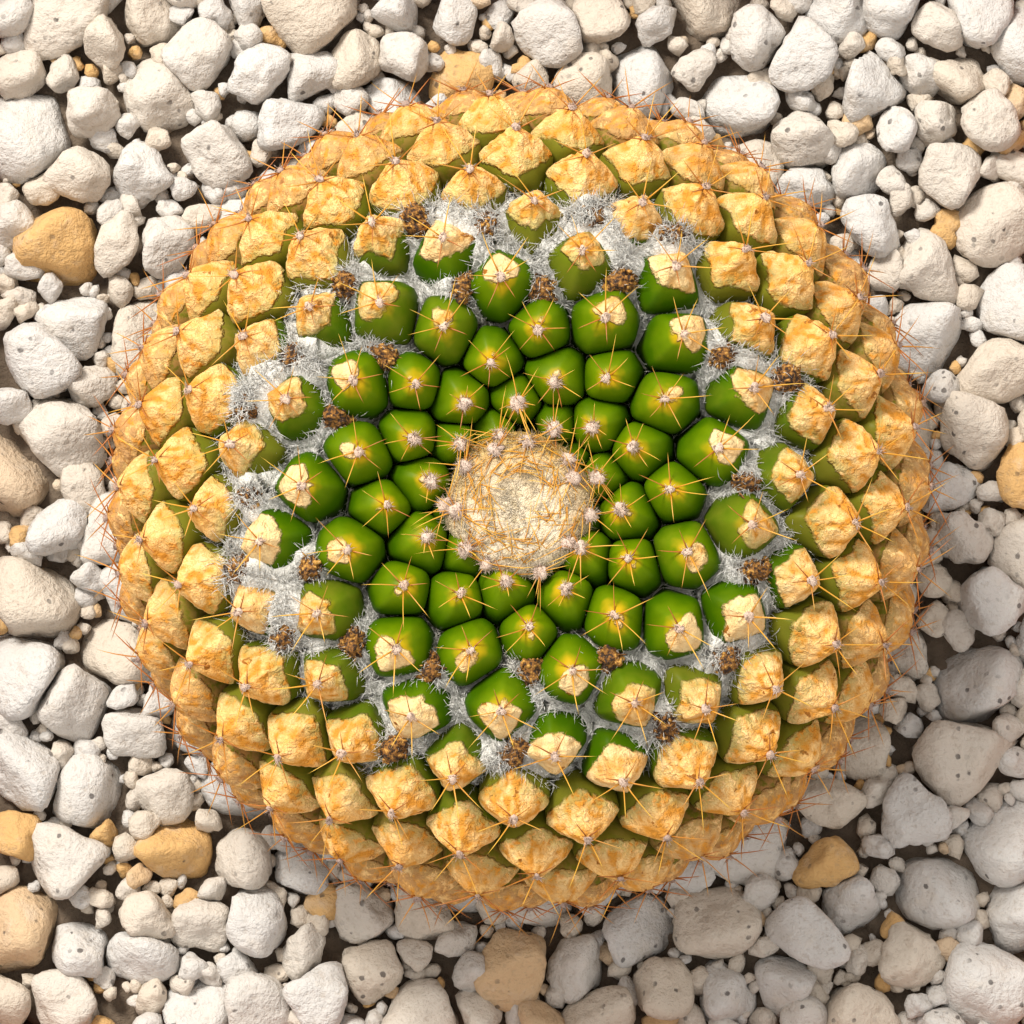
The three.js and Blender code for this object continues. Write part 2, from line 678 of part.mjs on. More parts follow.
// Dried flower remains stand in the wool of the axils of the middle-aged tubercles.
function flowerRemains(cells) {
  const draw = seeded(2024);
  const corners = new Map();
  cells.forEach((cell) => cell.corners.forEach((c) => {
    if (c.age > REMAINS_AGES[0] && c.age < REMAINS_AGES[1]) corners.set(c.id, c);
  }));
  const list = [...corners.values()].sort((a, b) => a.age - b.age);
  const chosen = [];
  for (let tries = 0; tries < 400 && chosen.length < FLOWER_REMAINS; tries += 1) {
    const c = list[Math.floor(draw() * list.length)];
    const here = plantPoint(c.age, c.angle, 0.5);
    if (chosen.every((other) => other.here.distanceTo(here) > REMAINS_APART)) chosen.push({ c, here });
  }
  return chosen.map(({ c }) => {
    const from = plantPoint(c.age, c.angle, -0.1);
    const to = plantPoint(c.age, c.angle, 0.62);
    const ball = new THREE.IcosahedronGeometry(1, 0).deleteAttribute('normal').deleteAttribute('uv');
    const lump = mergeVertices(ball, 1e-4);
    const position = lump.attributes.position;
    const along = to.clone().sub(from);
    const half = along.length() / 2;
    const turn = new THREE.Quaternion();
    turn.setFromUnitVectors(new THREE.Vector3(0, 0, 1), along.clone().normalize());
    for (let i = 0; i < position.count; i += 1) {
      const p = new THREE.Vector3().fromBufferAttribute(position, i).multiplyScalar(0.85 + 0.3 * draw());
      p.set(p.x * REMAINS_HALF[0], p.y * REMAINS_HALF[1], p.z * half).applyQuaternion(turn);
      p.add(from).addScaledVector(along, 0.5);
      position.setXYZ(i, p.x, p.y, p.z);
    }
    return toSolid(lump);
  });
}

// The wool cushion of the growing point fills the dip inside the first tubercles, and young spines push
// through it.
function buildWool(thicket, dip) {
  const faces = new Faces();
  const draw = seeded(31);
  const rings = WOOL_LEVELS.map(([rise, share, lift, kept]) => {
    const corners = dip.filter((_, i) => kept === 1 || i % 2 === 0);
    return corners.map((c) => {
      const p = plantPoint(c.age, c.angle, rise);
      const wide = share * (kept === 1 ? 1 : 0.97 + 0.06 * draw());
      return faces.add(new THREE.Vector3(p.x * wide, p.y * wide, p.z + lift));
    });
  });
  const polar = (v) => Math.atan2(faces.points[v].y, faces.points[v].x);
  rings.slice(1).forEach((ring, k) => faces.stitch(rings[k], ring, polar));
  const floorCentre = plantPoint(0, 0, 0);
  faces.fan(rings[0].slice().reverse(), faces.add(floorCentre.setZ(floorCentre.z + 0.4)));
  const crest = plantPoint(10, 0, 1);
  faces.fan(rings[rings.length - 1], faces.add(new THREE.Vector3(0, 0, crest.z + WOOL_CREST)));
  const skin = faces.index.slice();
  faces.index = [];
  for (let i = 0; i < skin.length; i += 3) {
    const [a, b, c] = skin.slice(i, i + 3);
    const middle = new THREE.Vector3();
    [a, b, c].forEach((v) => middle.add(faces.points[v]));
    middle.divideScalar(3);
    let tip = null;
    if (middle.z > crest.z + 0.6 && draw() < WOOL_SPINE_SHARE) {
      for (let attempt = 0; attempt < 40 && !tip; attempt += 1) {
        const out = new THREE.Vector3(middle.x, middle.y, 0).normalize().multiplyScalar(0.55);
        out.add(new THREE.Vector3(draw() - 0.5, draw() - 0.5, 0).multiplyScalar(1.1));
        const direction = out.setZ(0.75 + 0.5 * draw()).normalize();
        const candidate = middle.clone().addScaledVector(direction, 3.6 + 1.6 * draw());
        if (thicket.clear(middle, candidate, 'wool', [])) tip = candidate;
      }
    }
    if (!tip) {
      faces.triangle(a, b, c);
      continue;
    }
    // A small foot in the middle of the face carries the spine, so that it stays thin.
    const foot = [a, b, c].map((v) => faces.add(faces.points[v].clone().lerp(middle, 0.72)));
    [[a, b], [b, c], [c, a]].forEach(([p, r], k) => {
      faces.triangle(p, r, foot[k]);
      faces.triangle(r, foot[(k + 1) % 3], foot[k]);
    });
    const point = faces.add(tip);
    foot.forEach((v, k) => faces.triangle(v, foot[(k + 1) % 3], point));
    thicket.spines.push({ base: middle, tip, owner: 'wool' });
  }
  return faces.geometry();
}

// Assembly.
function piece(name, geometry, colour, roughness) {
  const material = new THREE.MeshStandardMaterial({ color: colour, roughness, metalness: 0 });
  const mesh = new THREE.Mesh(geometry, material);
  mesh.name = name;
  return mesh;
}

const thicket = new Thicket();
const { cells, dip, stem } = buildStem(thicket);
const wholeStem = flowerRemains(cells).reduce((all, lump) => all.add(lump), stem);

const plant = new THREE.Group();
plant.add(piece('stem', toGeometry(wholeStem), 0x7f8a2c, 0.55));
plant.add(piece('crown_wool', buildWool(thicket, dip), 0xf0e9d8, 0.95));

const pot = new THREE.Group();
pot.add(piece('pot', buildPot(), 0xb5653f, 0.85));
pot.add(piece('potting_mix', buildMix(), 0x4a3626, 0.95));
pot.add(piece('pumice_gravel', buildGravel(), 0xd9d3c6, 0.9));

const pottedCactus = new THREE.Group();
pottedCactus.add(pot, plant);

export default pottedCactus;
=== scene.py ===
"""Dresses a potted Mammillaria marksiana: stem, spines, wool, pumice top dressing and clay pot.

Sizes in the classes are millimetres, with Z up and the front at -Y, and each mesh is scaled to metres once.
The stem grows by the same rule as its solid: tubercle after tubercle, one divergence angle apart.
"""

import logging
import math
from collections.abc import Callable, Iterable, Sequence
from dataclasses import dataclass, field
from enum import Enum
from functools import partial
from random import Random

import bmesh
import bpy
import numpy as np
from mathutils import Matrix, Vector, noise
from mathutils.bvhtree import BVHTree

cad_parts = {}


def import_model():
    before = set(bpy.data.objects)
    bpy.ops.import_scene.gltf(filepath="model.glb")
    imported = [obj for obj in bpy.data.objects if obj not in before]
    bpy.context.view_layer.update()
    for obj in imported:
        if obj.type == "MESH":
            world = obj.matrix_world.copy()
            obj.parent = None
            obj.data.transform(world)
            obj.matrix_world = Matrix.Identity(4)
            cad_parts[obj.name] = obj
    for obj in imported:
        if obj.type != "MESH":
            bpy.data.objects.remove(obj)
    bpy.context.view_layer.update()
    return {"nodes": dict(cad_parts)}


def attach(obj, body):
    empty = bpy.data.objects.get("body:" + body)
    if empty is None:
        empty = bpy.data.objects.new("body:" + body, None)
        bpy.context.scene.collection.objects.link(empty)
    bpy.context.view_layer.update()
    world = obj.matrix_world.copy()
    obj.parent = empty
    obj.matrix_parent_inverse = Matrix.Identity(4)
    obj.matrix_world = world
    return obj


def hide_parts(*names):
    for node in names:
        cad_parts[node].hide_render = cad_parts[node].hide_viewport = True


MM = 0.001
BODY = "root"
FULL_TURN = 2 * math.pi
QUARTER_TURN = math.pi / 2
STRAIGHT_UP = np.array((0.0, 0.0, 1.0))
NO_LENGTH = 1e-9

log = logging.getLogger("cactus")

Colour = tuple[float, float, float]
Socket = bpy.types.NodeSocket
Mesh = bpy.types.Mesh
BMesh = bmesh.types.BMesh
Piece = bpy.types.Object
Material = bpy.types.Material
Array = np.ndarray
Values = np.ndarray | float
Span = tuple[float, float]
Skin = tuple[Array, dict[str, Array]]
Stone = tuple[Array, float, float]
Ring = tuple[float, float, float, float]


class Slot(Enum):
    """Material slot names, which no piece in this script is given."""

    TERRACOTTA = "terracotta"
    PUMICE = "pumice"
    STEM = "stem"
    WOOL = "wool"


class Texture(Enum):
    """Texture nodes that a finish is mixed from."""

    NOISE = "ShaderNodeTexNoise"
    CELLS = "ShaderNodeTexVoronoi"


class Sum(Enum):
    """What a node does with two values."""

    ADD = "ADD"
    SUBTRACT = "SUBTRACT"
    MULTIPLY = "MULTIPLY"
    ABSOLUTE = "ABSOLUTE"
    MAXIMUM = "MAXIMUM"


class Seeded:
    """Repeatable draws between 0 and 1, the same that place the stones of the solid gravel bed."""

    WORD = 0xFFFFFFFF
    STEP = 0x6D2B79F5

    def __init__(self, seed: int) -> None:
        """Starts the row of draws at a seed."""
        self.state = seed & self.WORD

    def __call__(self) -> float:
        """Draws once more.

        Returns:
            The draw.
        """
        self.state = (self.state + self.STEP) & self.WORD
        value = ((self.state ^ (self.state >> 15)) * (1 | self.state)) & self.WORD
        value = ((value + (((value ^ (value >> 7)) * (61 | value)) & self.WORD)) & self.WORD) ^ value
        return (value ^ (value >> 14)) / (self.WORD + 1)


def smoothstep(value: Values, low: float, high: float) -> Values:
    """Rises smoothly from 0 at low to 1 at high."""
    share = np.clip((np.asarray(value, float) - low) / (high - low), 0, 1)
    return share * share * (3 - 2 * share)


def lumps(points: Array, size: float, seed: float = 0.0) -> Array:
    """Smooth noise at points, from about -1 to 1, with lumps about size millimetres wide."""
    places = (points.reshape(-1, 3) / size + seed).tolist()
    return np.array([noise.noise(place) for place in places]).reshape(points.shape[:-1])


def flat_plates(points: Array, size: float, steepness: float = 1.4) -> Array:
    """Crumpled relief: flat plates with creases between.

    Args:
        points: Places, with x, y, z last.
        size: Width of one plate.
        steepness: How steeply a plate rises from its crease.

    Returns:
        Heights from 0 in a crease to 1 on a plate.
    """
    gaps = []
    for place in (points.reshape(-1, 3) / size).tolist():
        nearest, second = noise.voronoi(place)[0][:2]
        gaps.append(second - nearest)
    return np.minimum(1.0, np.array(gaps) * steepness).reshape(points.shape[:-1])


def unit(vectors: Array) -> Array:
    """Scales each vector to length 1."""
    return vectors / np.maximum(np.linalg.norm(vectors, axis=-1, keepdims=True), NO_LENGTH)


def heading(turn: float) -> Array:
    """The level direction at a turn, anticlockwise from +X."""
    return np.array((math.cos(turn), math.sin(turn), 0.0))


def aside(way: Array) -> Array:
    """A level direction, a quarter turn anticlockwise from another."""
    return np.array((-way[1], way[0], 0.0))


def stray(draw: Random) -> Array:
    """A random way of no set length, from three draws."""
    return np.array((draw.gauss(0, 1), draw.gauss(0, 1), draw.gauss(0, 1)))


def only(kind: type, items: Iterable[object]) -> list:
    """The items of one kind."""
    return [item for item in items if isinstance(item, kind)]


class Pattern:
    """A small mesh made once with operators, then repeated with new places for its vertices."""

    def __init__(self, bm: BMesh) -> None:
        """Takes the finished small mesh.

        Args:
            bm: The mesh.
        """
        bm.verts.ensure_lookup_table()
        self.bm = bm
        self.co = np.array([v.co for v in bm.verts])
        self.ring = np.zeros(len(self.co), int)
        self.side = np.zeros(len(self.co), int)

    @classmethod
    def ball(cls, subdivisions: int) -> "Pattern":
        """A ball of radius 1 with even triangles.

        Args:
            subdivisions: How finely it is cut.

        Returns:
            The pattern.
        """
        bm = bmesh.new()
        bmesh.ops.create_icosphere(bm, subdivisions=subdivisions, radius=1)
        return cls(bm)

    @classmethod
    def cube_ball(cls, cuts: int) -> "Pattern":
        """A ball of radius 1 blown up from a cube.

        Args:
            cuts: Cuts in each of the cube's edges.

        Returns:
            The pattern.
        """
        bm = bmesh.new()
        bmesh.ops.create_cube(bm, size=1)
        bmesh.ops.subdivide_edges(bm, edges=bm.edges, cuts=cuts, use_grid_fill=True)
        for vert in bm.verts:
            eased = Vector(math.tan(value * QUARTER_TURN) for value in vert.co)
            vert.co = eased.normalized()
        return cls(bm)

    @classmethod
    def tube(
        cls, sides: int, rings: int, base: bool = True, tip: bool = True, looped: bool = False
    ) -> "Pattern":
        """A tube whose vertices ring_places can place, by ring and side.

        Args:
            sides: Vertices in each ring.
            rings: Rings from base to tip.
            base: Closes the first ring.
            tip: Draws the last ring together in a point.
            looped: Joins the last ring to the first.

        Returns:
            The pattern.
        """
        bm = bmesh.new()
        bmesh.ops.create_circle(bm, cap_ends=base, segments=sides, radius=1)
        first = list(bm.edges)
        edges = first
        for _ in range(rings - 1):
            made = bmesh.ops.extrude_edge_only(bm, edges=edges)["geom"]
            verts = only(bmesh.types.BMVert, made)
            moved = set(verts)
            edges = [edge for edge in only(bmesh.types.BMEdge, made) if moved.issuperset(edge.verts)]
            bmesh.ops.translate(bm, vec=(0, 0, 1), verts=verts)
        if tip:
            verts = [v for v in bm.verts if v.co.z > rings - 1.5]
            bmesh.ops.pointmerge(bm, verts=verts, merge_co=(1, 0, rings - 1))
        if looped:
            bmesh.ops.bridge_loops(bm, edges=first + edges)
        bmesh.ops.recalc_face_normals(bm, faces=bm.faces)
        pattern = cls(bm)
        pattern.ring = np.rint(pattern.co[:, 2]).astype(int)
        turn = np.arctan2(pattern.co[:, 1], pattern.co[:, 0]) / FULL_TURN * sides
        pattern.side = np.rint(turn).astype(int) % sides
        return pattern

    @classmethod
    def cuff(cls, sides: int, rings: int) -> "Pattern":
        """A tube without ends whose last ring meets the first."""
        return cls.tube(sides, rings, base=False, tip=False, looped=True)

    def ring_places(self, rings: Array) -> Array:
        """Picks each vertex's value out of values laid out as (copies, rings, sides, ...)."""
        return rings[:, self.ring, self.side]

    def repeat(self, name: str, places: Array, marks: dict[str, Array]) -> Mesh:
        """Makes a mesh of many copies.

        Args:
            name: Name of the mesh.
            places: Vertex places in millimetres as (copies, vertices, 3).
            marks: Named values for the materials, as (copies,) or (copies, vertices).

        Returns:
            The mesh, in metres.
        """
        copies = len(places)
        bm = self.bm.copy()
        copy_layer = bm.verts.layers.int.new("copy")
        place_layer = bm.verts.layers.int.new("place")
        for index, vert in enumerate(bm.verts):
            vert[place_layer] = index
        made = 1
        while made < copies:
            take = min(made, copies - made)
            verts = [v for v in bm.verts if v[copy_layer] < take]
            chosen = set(verts)
            edges = [e for e in bm.edges if e.verts[0] in chosen]
            faces = [f for f in bm.faces if f.verts[0] in chosen]
            result = bmesh.ops.duplicate(bm, geom=verts + edges + faces)
            for vert in only(bmesh.types.BMVert, result["geom"]):
                vert[copy_layer] += made
            made += take
        mesh = bpy.data.meshes.new(name)
        bm.to_mesh(mesh)
        bm.free()
        owner = np.zeros(len(mesh.vertices), np.int32)
        index = np.zeros(len(mesh.vertices), np.int32)
        mesh.attributes["copy"].data.foreach_get("value", owner)
        mesh.attributes["place"].data.foreach_get("value", index)
        mesh.attributes.remove(mesh.attributes["copy"])
        mesh.attributes.remove(mesh.attributes["place"])
        mesh.vertices.foreach_set("co", (places[owner, index] * MM).astype(np.float32).ravel())
        for mark, values in marks.items():
            layer = mesh.attributes.new(mark, "FLOAT", "POINT")
            picked = values[owner] if values.ndim == 1 else values[owner, index]
            layer.data.foreach_set("value", picked.astype(np.float32))
        mesh.update()
        return mesh

    def felt(self, places: Sequence[Array], tints: Sequence[float]) -> Mesh:
        """Makes a mesh of copies, given by their places and tints, with the marks that wool has."""
        marks = {"along": np.zeros(len(places)), "tint": np.array(tints)}
        return self.repeat("felt", np.array(places), marks)


def join_meshes(meshes: Iterable[Mesh]) -> BMesh:
    """Gathers meshes in one bmesh and removes them.

    Args:
        meshes: Meshes with the same marks.

    Returns:
        The bmesh that holds them all.
    """
    bm = bmesh.new()
    for mesh in meshes:
        bm.from_mesh(mesh)
        bpy.data.meshes.remove(mesh)
    return bm


def join_skins(skins: Iterable[Skin], shape: Callable[[int, int], Pattern]) -> BMesh:
    """Joins skins in one mesh, with a pattern for all those that have as many sides.

    Args:
        skins: Places and marks of each, laid out as (rings, sides, ...).
        shape: Makes the pattern for a number of sides and rings.

    Returns:
        The mesh that holds them all.
    """
    by_sides: dict[int, list[Skin]] = {}
    for skin in skins:
        by_sides.setdefault(skin[0].shape[1], []).append(skin)
    meshes = []
    for sides, alike in sorted(by_sides.items()):
        pattern = shape(sides, len(alike[0][0]))
        places = pattern.ring_places(np.array([places for places, _ in alike]))
        marks = {
            name: pattern.ring_places(np.array([marks[name] for _, marks in alike]))
            for name in alike[0][1]
        }
        meshes.append(pattern.repeat("skins", places, marks))
    return join_meshes(meshes)


def finish_piece(
    name: str, mesh: Mesh | BMesh, material: Material, replaces: Sequence[str] = ()
) -> Piece:
    """Turns a mesh into a piece that rides with the pot.

    Args:
        name: Name of the piece.
        mesh: Its mesh or bmesh, in metres.
        material: Its material.
        replaces: CAD nodes that it stands for.

    Returns:
        The piece.
    """
    if isinstance(mesh, BMesh):
        bm = mesh
        mesh = bpy.data.meshes.new(name)
        bm.to_mesh(mesh)
        bm.free()
    mesh.name = name
    mesh.polygons.foreach_set("use_smooth", np.ones(len(mesh.polygons), bool))
    mesh.materials.clear()
    mesh.materials.append(material)
    piece = bpy.data.objects.new(name, mesh)
    bpy.context.scene.collection.objects.link(piece)
    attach(piece, BODY)
    if replaces:
        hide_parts(*replaces)
    triangles = sum(len(p.vertices) - 2 for p in mesh.polygons)
    log.info("%s: %d triangles", name, triangles)
    return piece


class Paint:
    """Builds the node tree of one procedural material, in object coordinates (metres)."""

    FIRST_COLOUR = 6
    SECOND_COLOUR = 7
    MIXED_COLOUR = 2

    def __init__(self, name: str) -> None:
        """Starts an empty material with its shader and output.

        Args:
            name: Its name.
        """
        self.material = bpy.data.materials.new(name)
        self.material.use_nodes = True
        self.tree = self.material.node_tree
        self.tree.nodes.clear()
        self.shader = self.tree.nodes.new("ShaderNodeBsdfPrincipled")
        output = self.tree.nodes.new("ShaderNodeOutputMaterial")
        self.tree.links.new(self.shader.outputs["BSDF"], output.inputs["Surface"])
        self.place = self.tree.nodes.new("ShaderNodeTexCoord").outputs["Object"]

    def put(self, socket: Socket, value: Socket | float | Colour) -> None:
        """Links a socket to another, or sets its own value.

        Args:
            socket: The input to fill.
            value: A socket, a number or a colour.
        """
        if isinstance(value, bpy.types.NodeSocket):
            self.tree.links.new(value, socket)
        elif isinstance(value, tuple):
            socket.default_value = (*value, 1.0)
        else:
            socket.default_value = value

    def mark(self, name: str) -> Socket:
        """Reads a mesh's own mark.

        Args:
            name: The mark's name.

        Returns:
            Its value.
        """
        node = self.tree.nodes.new("ShaderNodeAttribute")
        node.attribute_name = name
        return node.outputs["Fac"]

    def texture(self, kind: Texture, size: float) -> bpy.types.Node:
        """Adds a texture to the nodes.

        Args:
            kind: The texture.
            size: Width of its lumps or cells in millimetres.

        Returns:
            Its node.
        """
        node = self.tree.nodes.new(kind.value)
        self.put(node.inputs["Vector"], self.place)
        node.inputs["Scale"].default_value = 1 / (size * MM)
        return node

    def noise(self, size: float, detail: float = 2, rough: float = 0.55) -> Socket:
        """Cloudy noise.

        Args:
            size: Width of its lumps in millimetres.
            detail: How many finer layers lie over them.
            rough: How strong the finer layers are.

        Returns:
            A value from 0 to 1.
        """
        node = self.texture(Texture.NOISE, size)
        node.inputs["Detail"].default_value = detail
        node.inputs["Roughness"].default_value = rough
        return node.outputs["Fac"]

    def cells(self, size: float) -> tuple[Socket, Socket]:
        """Rounded cells that fill the space.

        Args:
            size: Width of a cell in millimetres.

        Returns:
            The distance to the cell's middle, and a value from 0 to 1 that is the cell's own.
        """
        node = self.texture(Texture.CELLS, size)
        split = self.tree.nodes.new("ShaderNodeSeparateColor")
        self.put(split.inputs["Color"], node.outputs["Color"])
        return node.outputs["Distance"], split.outputs["Red"]

    def facets(self, size: float) -> Socket:
        """Small flat-sided peaks, like crumpled paper.

        Args:
            size: Width of a peak in millimetres.

        Returns:
            The distance from a peak's middle.
        """
        node = self.texture(Texture.CELLS, size)
        node.distance = "MANHATTAN"
        return node.outputs["Distance"]

    def math(self, kind: Sum, first: Socket | float, second: Socket | float = 0.0) -> Socket:
        """Works out a sum.

        Args:
            kind: What is done with the values.
            first: The first value.
            second: The second value, where the sum has one.

        Returns:
            The result.
        """
        node = self.tree.nodes.new("ShaderNodeMath")
        node.operation = kind.value
        self.put(node.inputs[0], first)
        self.put(node.inputs[1], second)
        return node.outputs[0]

    def times(self, first: Socket, second: Socket | float) -> Socket:
        """The product of two values."""
        return self.math(Sum.MULTIPLY, first, second)

    def sway(self, value: Socket, by: Socket, amount: float) -> Socket:
        """Adds by to value, counted from its middle of 0.5 and times amount."""
        return self.math(Sum.ADD, value, self.times(self.math(Sum.SUBTRACT, by, 0.5), amount))

    def band(self, value: Socket, low: float, high: float, start: float = 0, end: float = 1) -> Socket:
        """Goes smoothly from one number to another.

        Args:
            value: What it follows.
            low: Value where it starts.
            high: Value where it ends.
            start: Number at low.
            end: Number at high.

        Returns:
            The number.
        """
        node = self.tree.nodes.new("ShaderNodeMapRange")
        node.interpolation_type = "SMOOTHSTEP"
        self.put(node.inputs["Value"], value)
        for key, number in zip(("From Min", "From Max", "To Min", "To Max"), (low, high, start, end)):
            node.inputs[key].default_value = number
        return node.outputs["Result"]

    def blend(self, share: Socket | float, first: Socket | Colour, second: Socket | Colour) -> Socket:
        """Mixes two colours.

        Args:
            share: The second colour's share, from 0 to 1.
            first: The first colour.
            second: The second colour.

        Returns:
            The mixed colour.
        """
        node = self.tree.nodes.new("ShaderNodeMix")
        node.data_type = "RGBA"
        self.put(node.inputs["Factor"], share)
        self.put(node.inputs[self.FIRST_COLOUR], first)
        self.put(node.inputs[self.SECOND_COLOUR], second)
        return node.outputs[self.MIXED_COLOUR]

    def relief(self, *layers: tuple[Socket, float]) -> Socket:
        """Gives the surface a fine relief.

        Args:
            layers: Each a height from 0 to 1 and its depth in millimetres.

        Returns:
            The surface's direction with the relief on it.
        """
        height = None
        for layer, depth in layers:
            scaled = self.times(layer, depth)
            height = scaled if height is None else self.math(Sum.ADD, height, scaled)
        node = self.tree.nodes.new("ShaderNodeBump")
        node.inputs["Distance"].default_value = MM
        self.put(node.inputs["Height"], height)
        return node.outputs["Normal"]

    def finish(self, **sockets: Socket | float | Colour) -> Material:
        """Sets the shader's sockets.

        Args:
            sockets: Values by the sockets' names, with underscores for spaces.

        Returns:
            The material.
        """
        for name, value in sockets.items():
            self.put(self.shader.inputs[name.replace("_", " ")], value)
        return self.material


@dataclass(frozen=True)
class FleshFinish:
    """Green flesh that turns corky and orange from the areole down as a tubercle ages."""

    # The deepest green is painted shade in the axils and low on the flanks; the lime is a painted highlight
    # and the amber a painted glow toward the areole.
    painted_shade_green: Colour = (0.020, 0.050, 0.0004)
    green: Colour = (0.040, 0.100, 0.0004)
    lime: Colour = (0.138, 0.210, 0.0008)
    amber: Colour = (0.66, 0.38, 0.010)
    olive: Colour = (0.16, 0.15, 0.014)
    moss: Colour = (0.40, 0.37, 0.11)
    cream: Colour = (0.94, 0.68, 0.34)
    orange: Colour = (0.93, 0.49, 0.12)
    # The crease colour is partly painted shade in the cork's folds.
    crease: Colour = (0.70, 0.29, 0.040)
    brown: Colour = (0.36, 0.13, 0.02)
    old_pink: Colour = (0.44, 0.22, 0.085)
    green_age: float = 58.0
    olive_age: float = 112.0
    cream_age: float = 50.0
    orange_age: float = 80.0
    fading_age: float = 122.0
    old_age: float = 185.0
    own_spread: float = 46.0
    patch_spread: float = 40.0
    patch_size: float = 3.0
    paper_size: float = 1.1
    scab_size: float = 1.25
    facet_size: float = 1.6
    flesh_gloss: float = 0.38
    cork_gloss: float = 0.7
    cork_step: float = 0.05
    ridge_depth: float = 1.0
    facet_depth: float = 0.34

    def material(self) -> Material:
        """Builds the material from the stem's marks: rise, age, cork, crease and tone.

        Returns:
            The material.
        """
        paint = Paint("cactus_flesh")
        rise = paint.mark("rise")
        broad = paint.noise(self.patch_size)
        papery = paint.noise(self.paper_size, 3, 0.66)
        own_age = paint.sway(paint.mark("age"), paint.mark("tone"), self.own_spread)
        ageing = paint.sway(own_age, broad, self.patch_spread)
        edge = paint.sway(paint.mark("cork"), papery, 0.13)
        ridge = paint.math(Sum.ABSOLUTE, paint.math(Sum.SUBTRACT, papery, 0.5))
        corky = paint.band(edge, -0.016, 0.022)
        crease = paint.sway(paint.mark("crease"), papery, 1.5)
        patch = paint.band(broad, 0.30, 0.68, 0.62, 1.0)
        patch = paint.times(patch, paint.band(edge, 0.04, 0.50, 0.40, 1.0))
        stained = paint.times(paint.band(ageing, self.cream_age, self.orange_age), patch)
        cork = paint.blend(stained, self.cream, self.orange)
        # Painted highlight: the raised crumples of the cork turn cream.
        cork = paint.blend(paint.band(crease, 0.2, 0.8, 0.0, 0.4), cork, self.cream)
        # The crease colour darkens the folds as painted shade, and also draws the cork's own fine wrinkle
        # lines.
        worn = paint.band(ageing, self.cream_age, self.orange_age, 0.3, 1.0)
        fine_line = paint.band(ridge, 0.045, 0.0, 0.0, 0.6)
        wrinkle = paint.math(Sum.MAXIMUM, paint.band(crease, 0.0, -0.9), fine_line)
        cork = paint.blend(paint.times(wrinkle, worn), cork, self.crease)
        _, scab = paint.cells(self.scab_size)
        pit = paint.band(paint.sway(scab, papery, 0.3), 0.982, 1.0)
        pit = paint.times(pit, paint.band(crease, 0.2, -0.2))
        cork = paint.blend(pit, cork, self.brown)
        fringe = paint.times(paint.band(edge, 0.24, 0.02, 0.0, 0.7), paint.band(ageing, 56.0, 84.0))
        cork = paint.blend(paint.times(fringe, paint.band(papery, 0.38, 0.56)), cork, self.moss)
        skin = paint.blend(corky, self.flesh(paint, rise, broad, ageing), cork)
        old = paint.band(ageing, self.fading_age, self.old_age, 0.0, 0.8)
        skin = paint.blend(paint.times(old, paint.band(papery, 0.35, 0.6)), skin, self.old_pink)
        ridges = paint.times(ridge, corky)
        facets = paint.times(paint.facets(self.facet_size), corky)
        return paint.finish(
            Base_Color=skin,
            Roughness=paint.band(corky, 0.0, 1.0, self.flesh_gloss, self.cork_gloss),
            Normal=paint.relief(
                (corky, self.cork_step), (ridges, self.ridge_depth), (facets, self.facet_depth)
            ),
            Specular_IOR_Level=0.05,
        )

    def flesh(self, paint: Paint, rise: Socket, broad: Socket, ageing: Socket) -> Socket:
        """Colours the living flesh.

        Args:
            paint: The material's nodes.
            rise: Height on the tubercle, from 0 to 1.
            broad: Broad noise.
            ageing: Its age, shifted here and there.

        Returns:
            Painted shade in deep green in the axils and low on the flanks, a painted lime highlight and
            amber glow toward the tips, olive with age.
        """
        # Painted light by height: darker green low on the tubercle, lime highlight and amber glow near the
        # areole.
        lit = paint.sway(rise, broad, 0.24)
        colour = paint.blend(paint.band(lit, 0.12, 0.55), self.painted_shade_green, self.green)
        colour = paint.blend(paint.band(lit, 0.60, 0.98, 0.0, 0.92), colour, self.lime)
        colour = paint.blend(paint.band(lit, 0.88, 1.02, 0.0, 0.75), colour, self.amber)
        aged = paint.band(ageing, self.green_age, self.olive_age, 0.0, 0.9)
        colour = paint.blend(aged, colour, self.olive)
        # Painted shade: the floors of the axils turn deepest green.
        return paint.blend(paint.band(rise, 0.34, 0.08, 0.0, 0.9), colour, self.painted_shade_green)


@dataclass(frozen=True)
class SpineFinish:
    """Glassy golden spines, orange brown toward the base and on old areoles."""

    gold: Colour = (0.67, 0.29, 0.022)
    straw: Colour = (0.86, 0.52, 0.072)
    rust: Colour = (0.40, 0.125, 0.018)

    def material(self) -> Material:
        """Builds the material from the spines' marks: along and warm.

        Returns:
            The material.
        """
        paint = Paint("spine_horn")
        mottle = paint.noise(2.0)
        warm = paint.sway(paint.mark("warm"), mottle, 0.5)
        colour = paint.blend(paint.band(paint.mark("along"), 0.15, 0.9), self.gold, self.straw)
        colour = paint.blend(paint.band(warm, 0.1, 0.85), colour, self.rust)
        return paint.finish(
            Base_Color=colour,
            Roughness=0.36,
            Specular_IOR_Level=0.4,
            Normal=paint.relief((mottle, 0.02)),
        )


@dataclass(frozen=True)
class WoolFinish:
    """White wool and felt; the tint mark makes it cream, pinkish or grey."""

    name: str = "axil_wool"
    white: Colour = (0.98, 0.955, 0.89)
    tinted: Colour = (0.58, 0.50, 0.38)
    shade: Colour = (0.90, 0.865, 0.79)
    strand: float = 0.24

    def material(self) -> Material:
        """Builds the material from the wool's mark tint.

        Returns:
            The material.
        """
        paint = Paint(self.name)
        matted = paint.noise(self.strand, 2, 0.75)
        clumps = paint.noise(1.6, 1, 0.6)
        colour = paint.blend(paint.mark("tint"), self.white, self.tinted)
        colour = paint.blend(paint.band(clumps, 0.5, 0.3, 0.0, 0.35), colour, self.shade)
        colour = paint.blend(paint.band(matted, 0.46, 0.36, 0.0, 0.25), colour, self.shade)
        return paint.finish(
            Base_Color=colour,
            Roughness=0.95,
            Specular_IOR_Level=0.1,
            Normal=paint.relief((matted, 0.48)),
        )


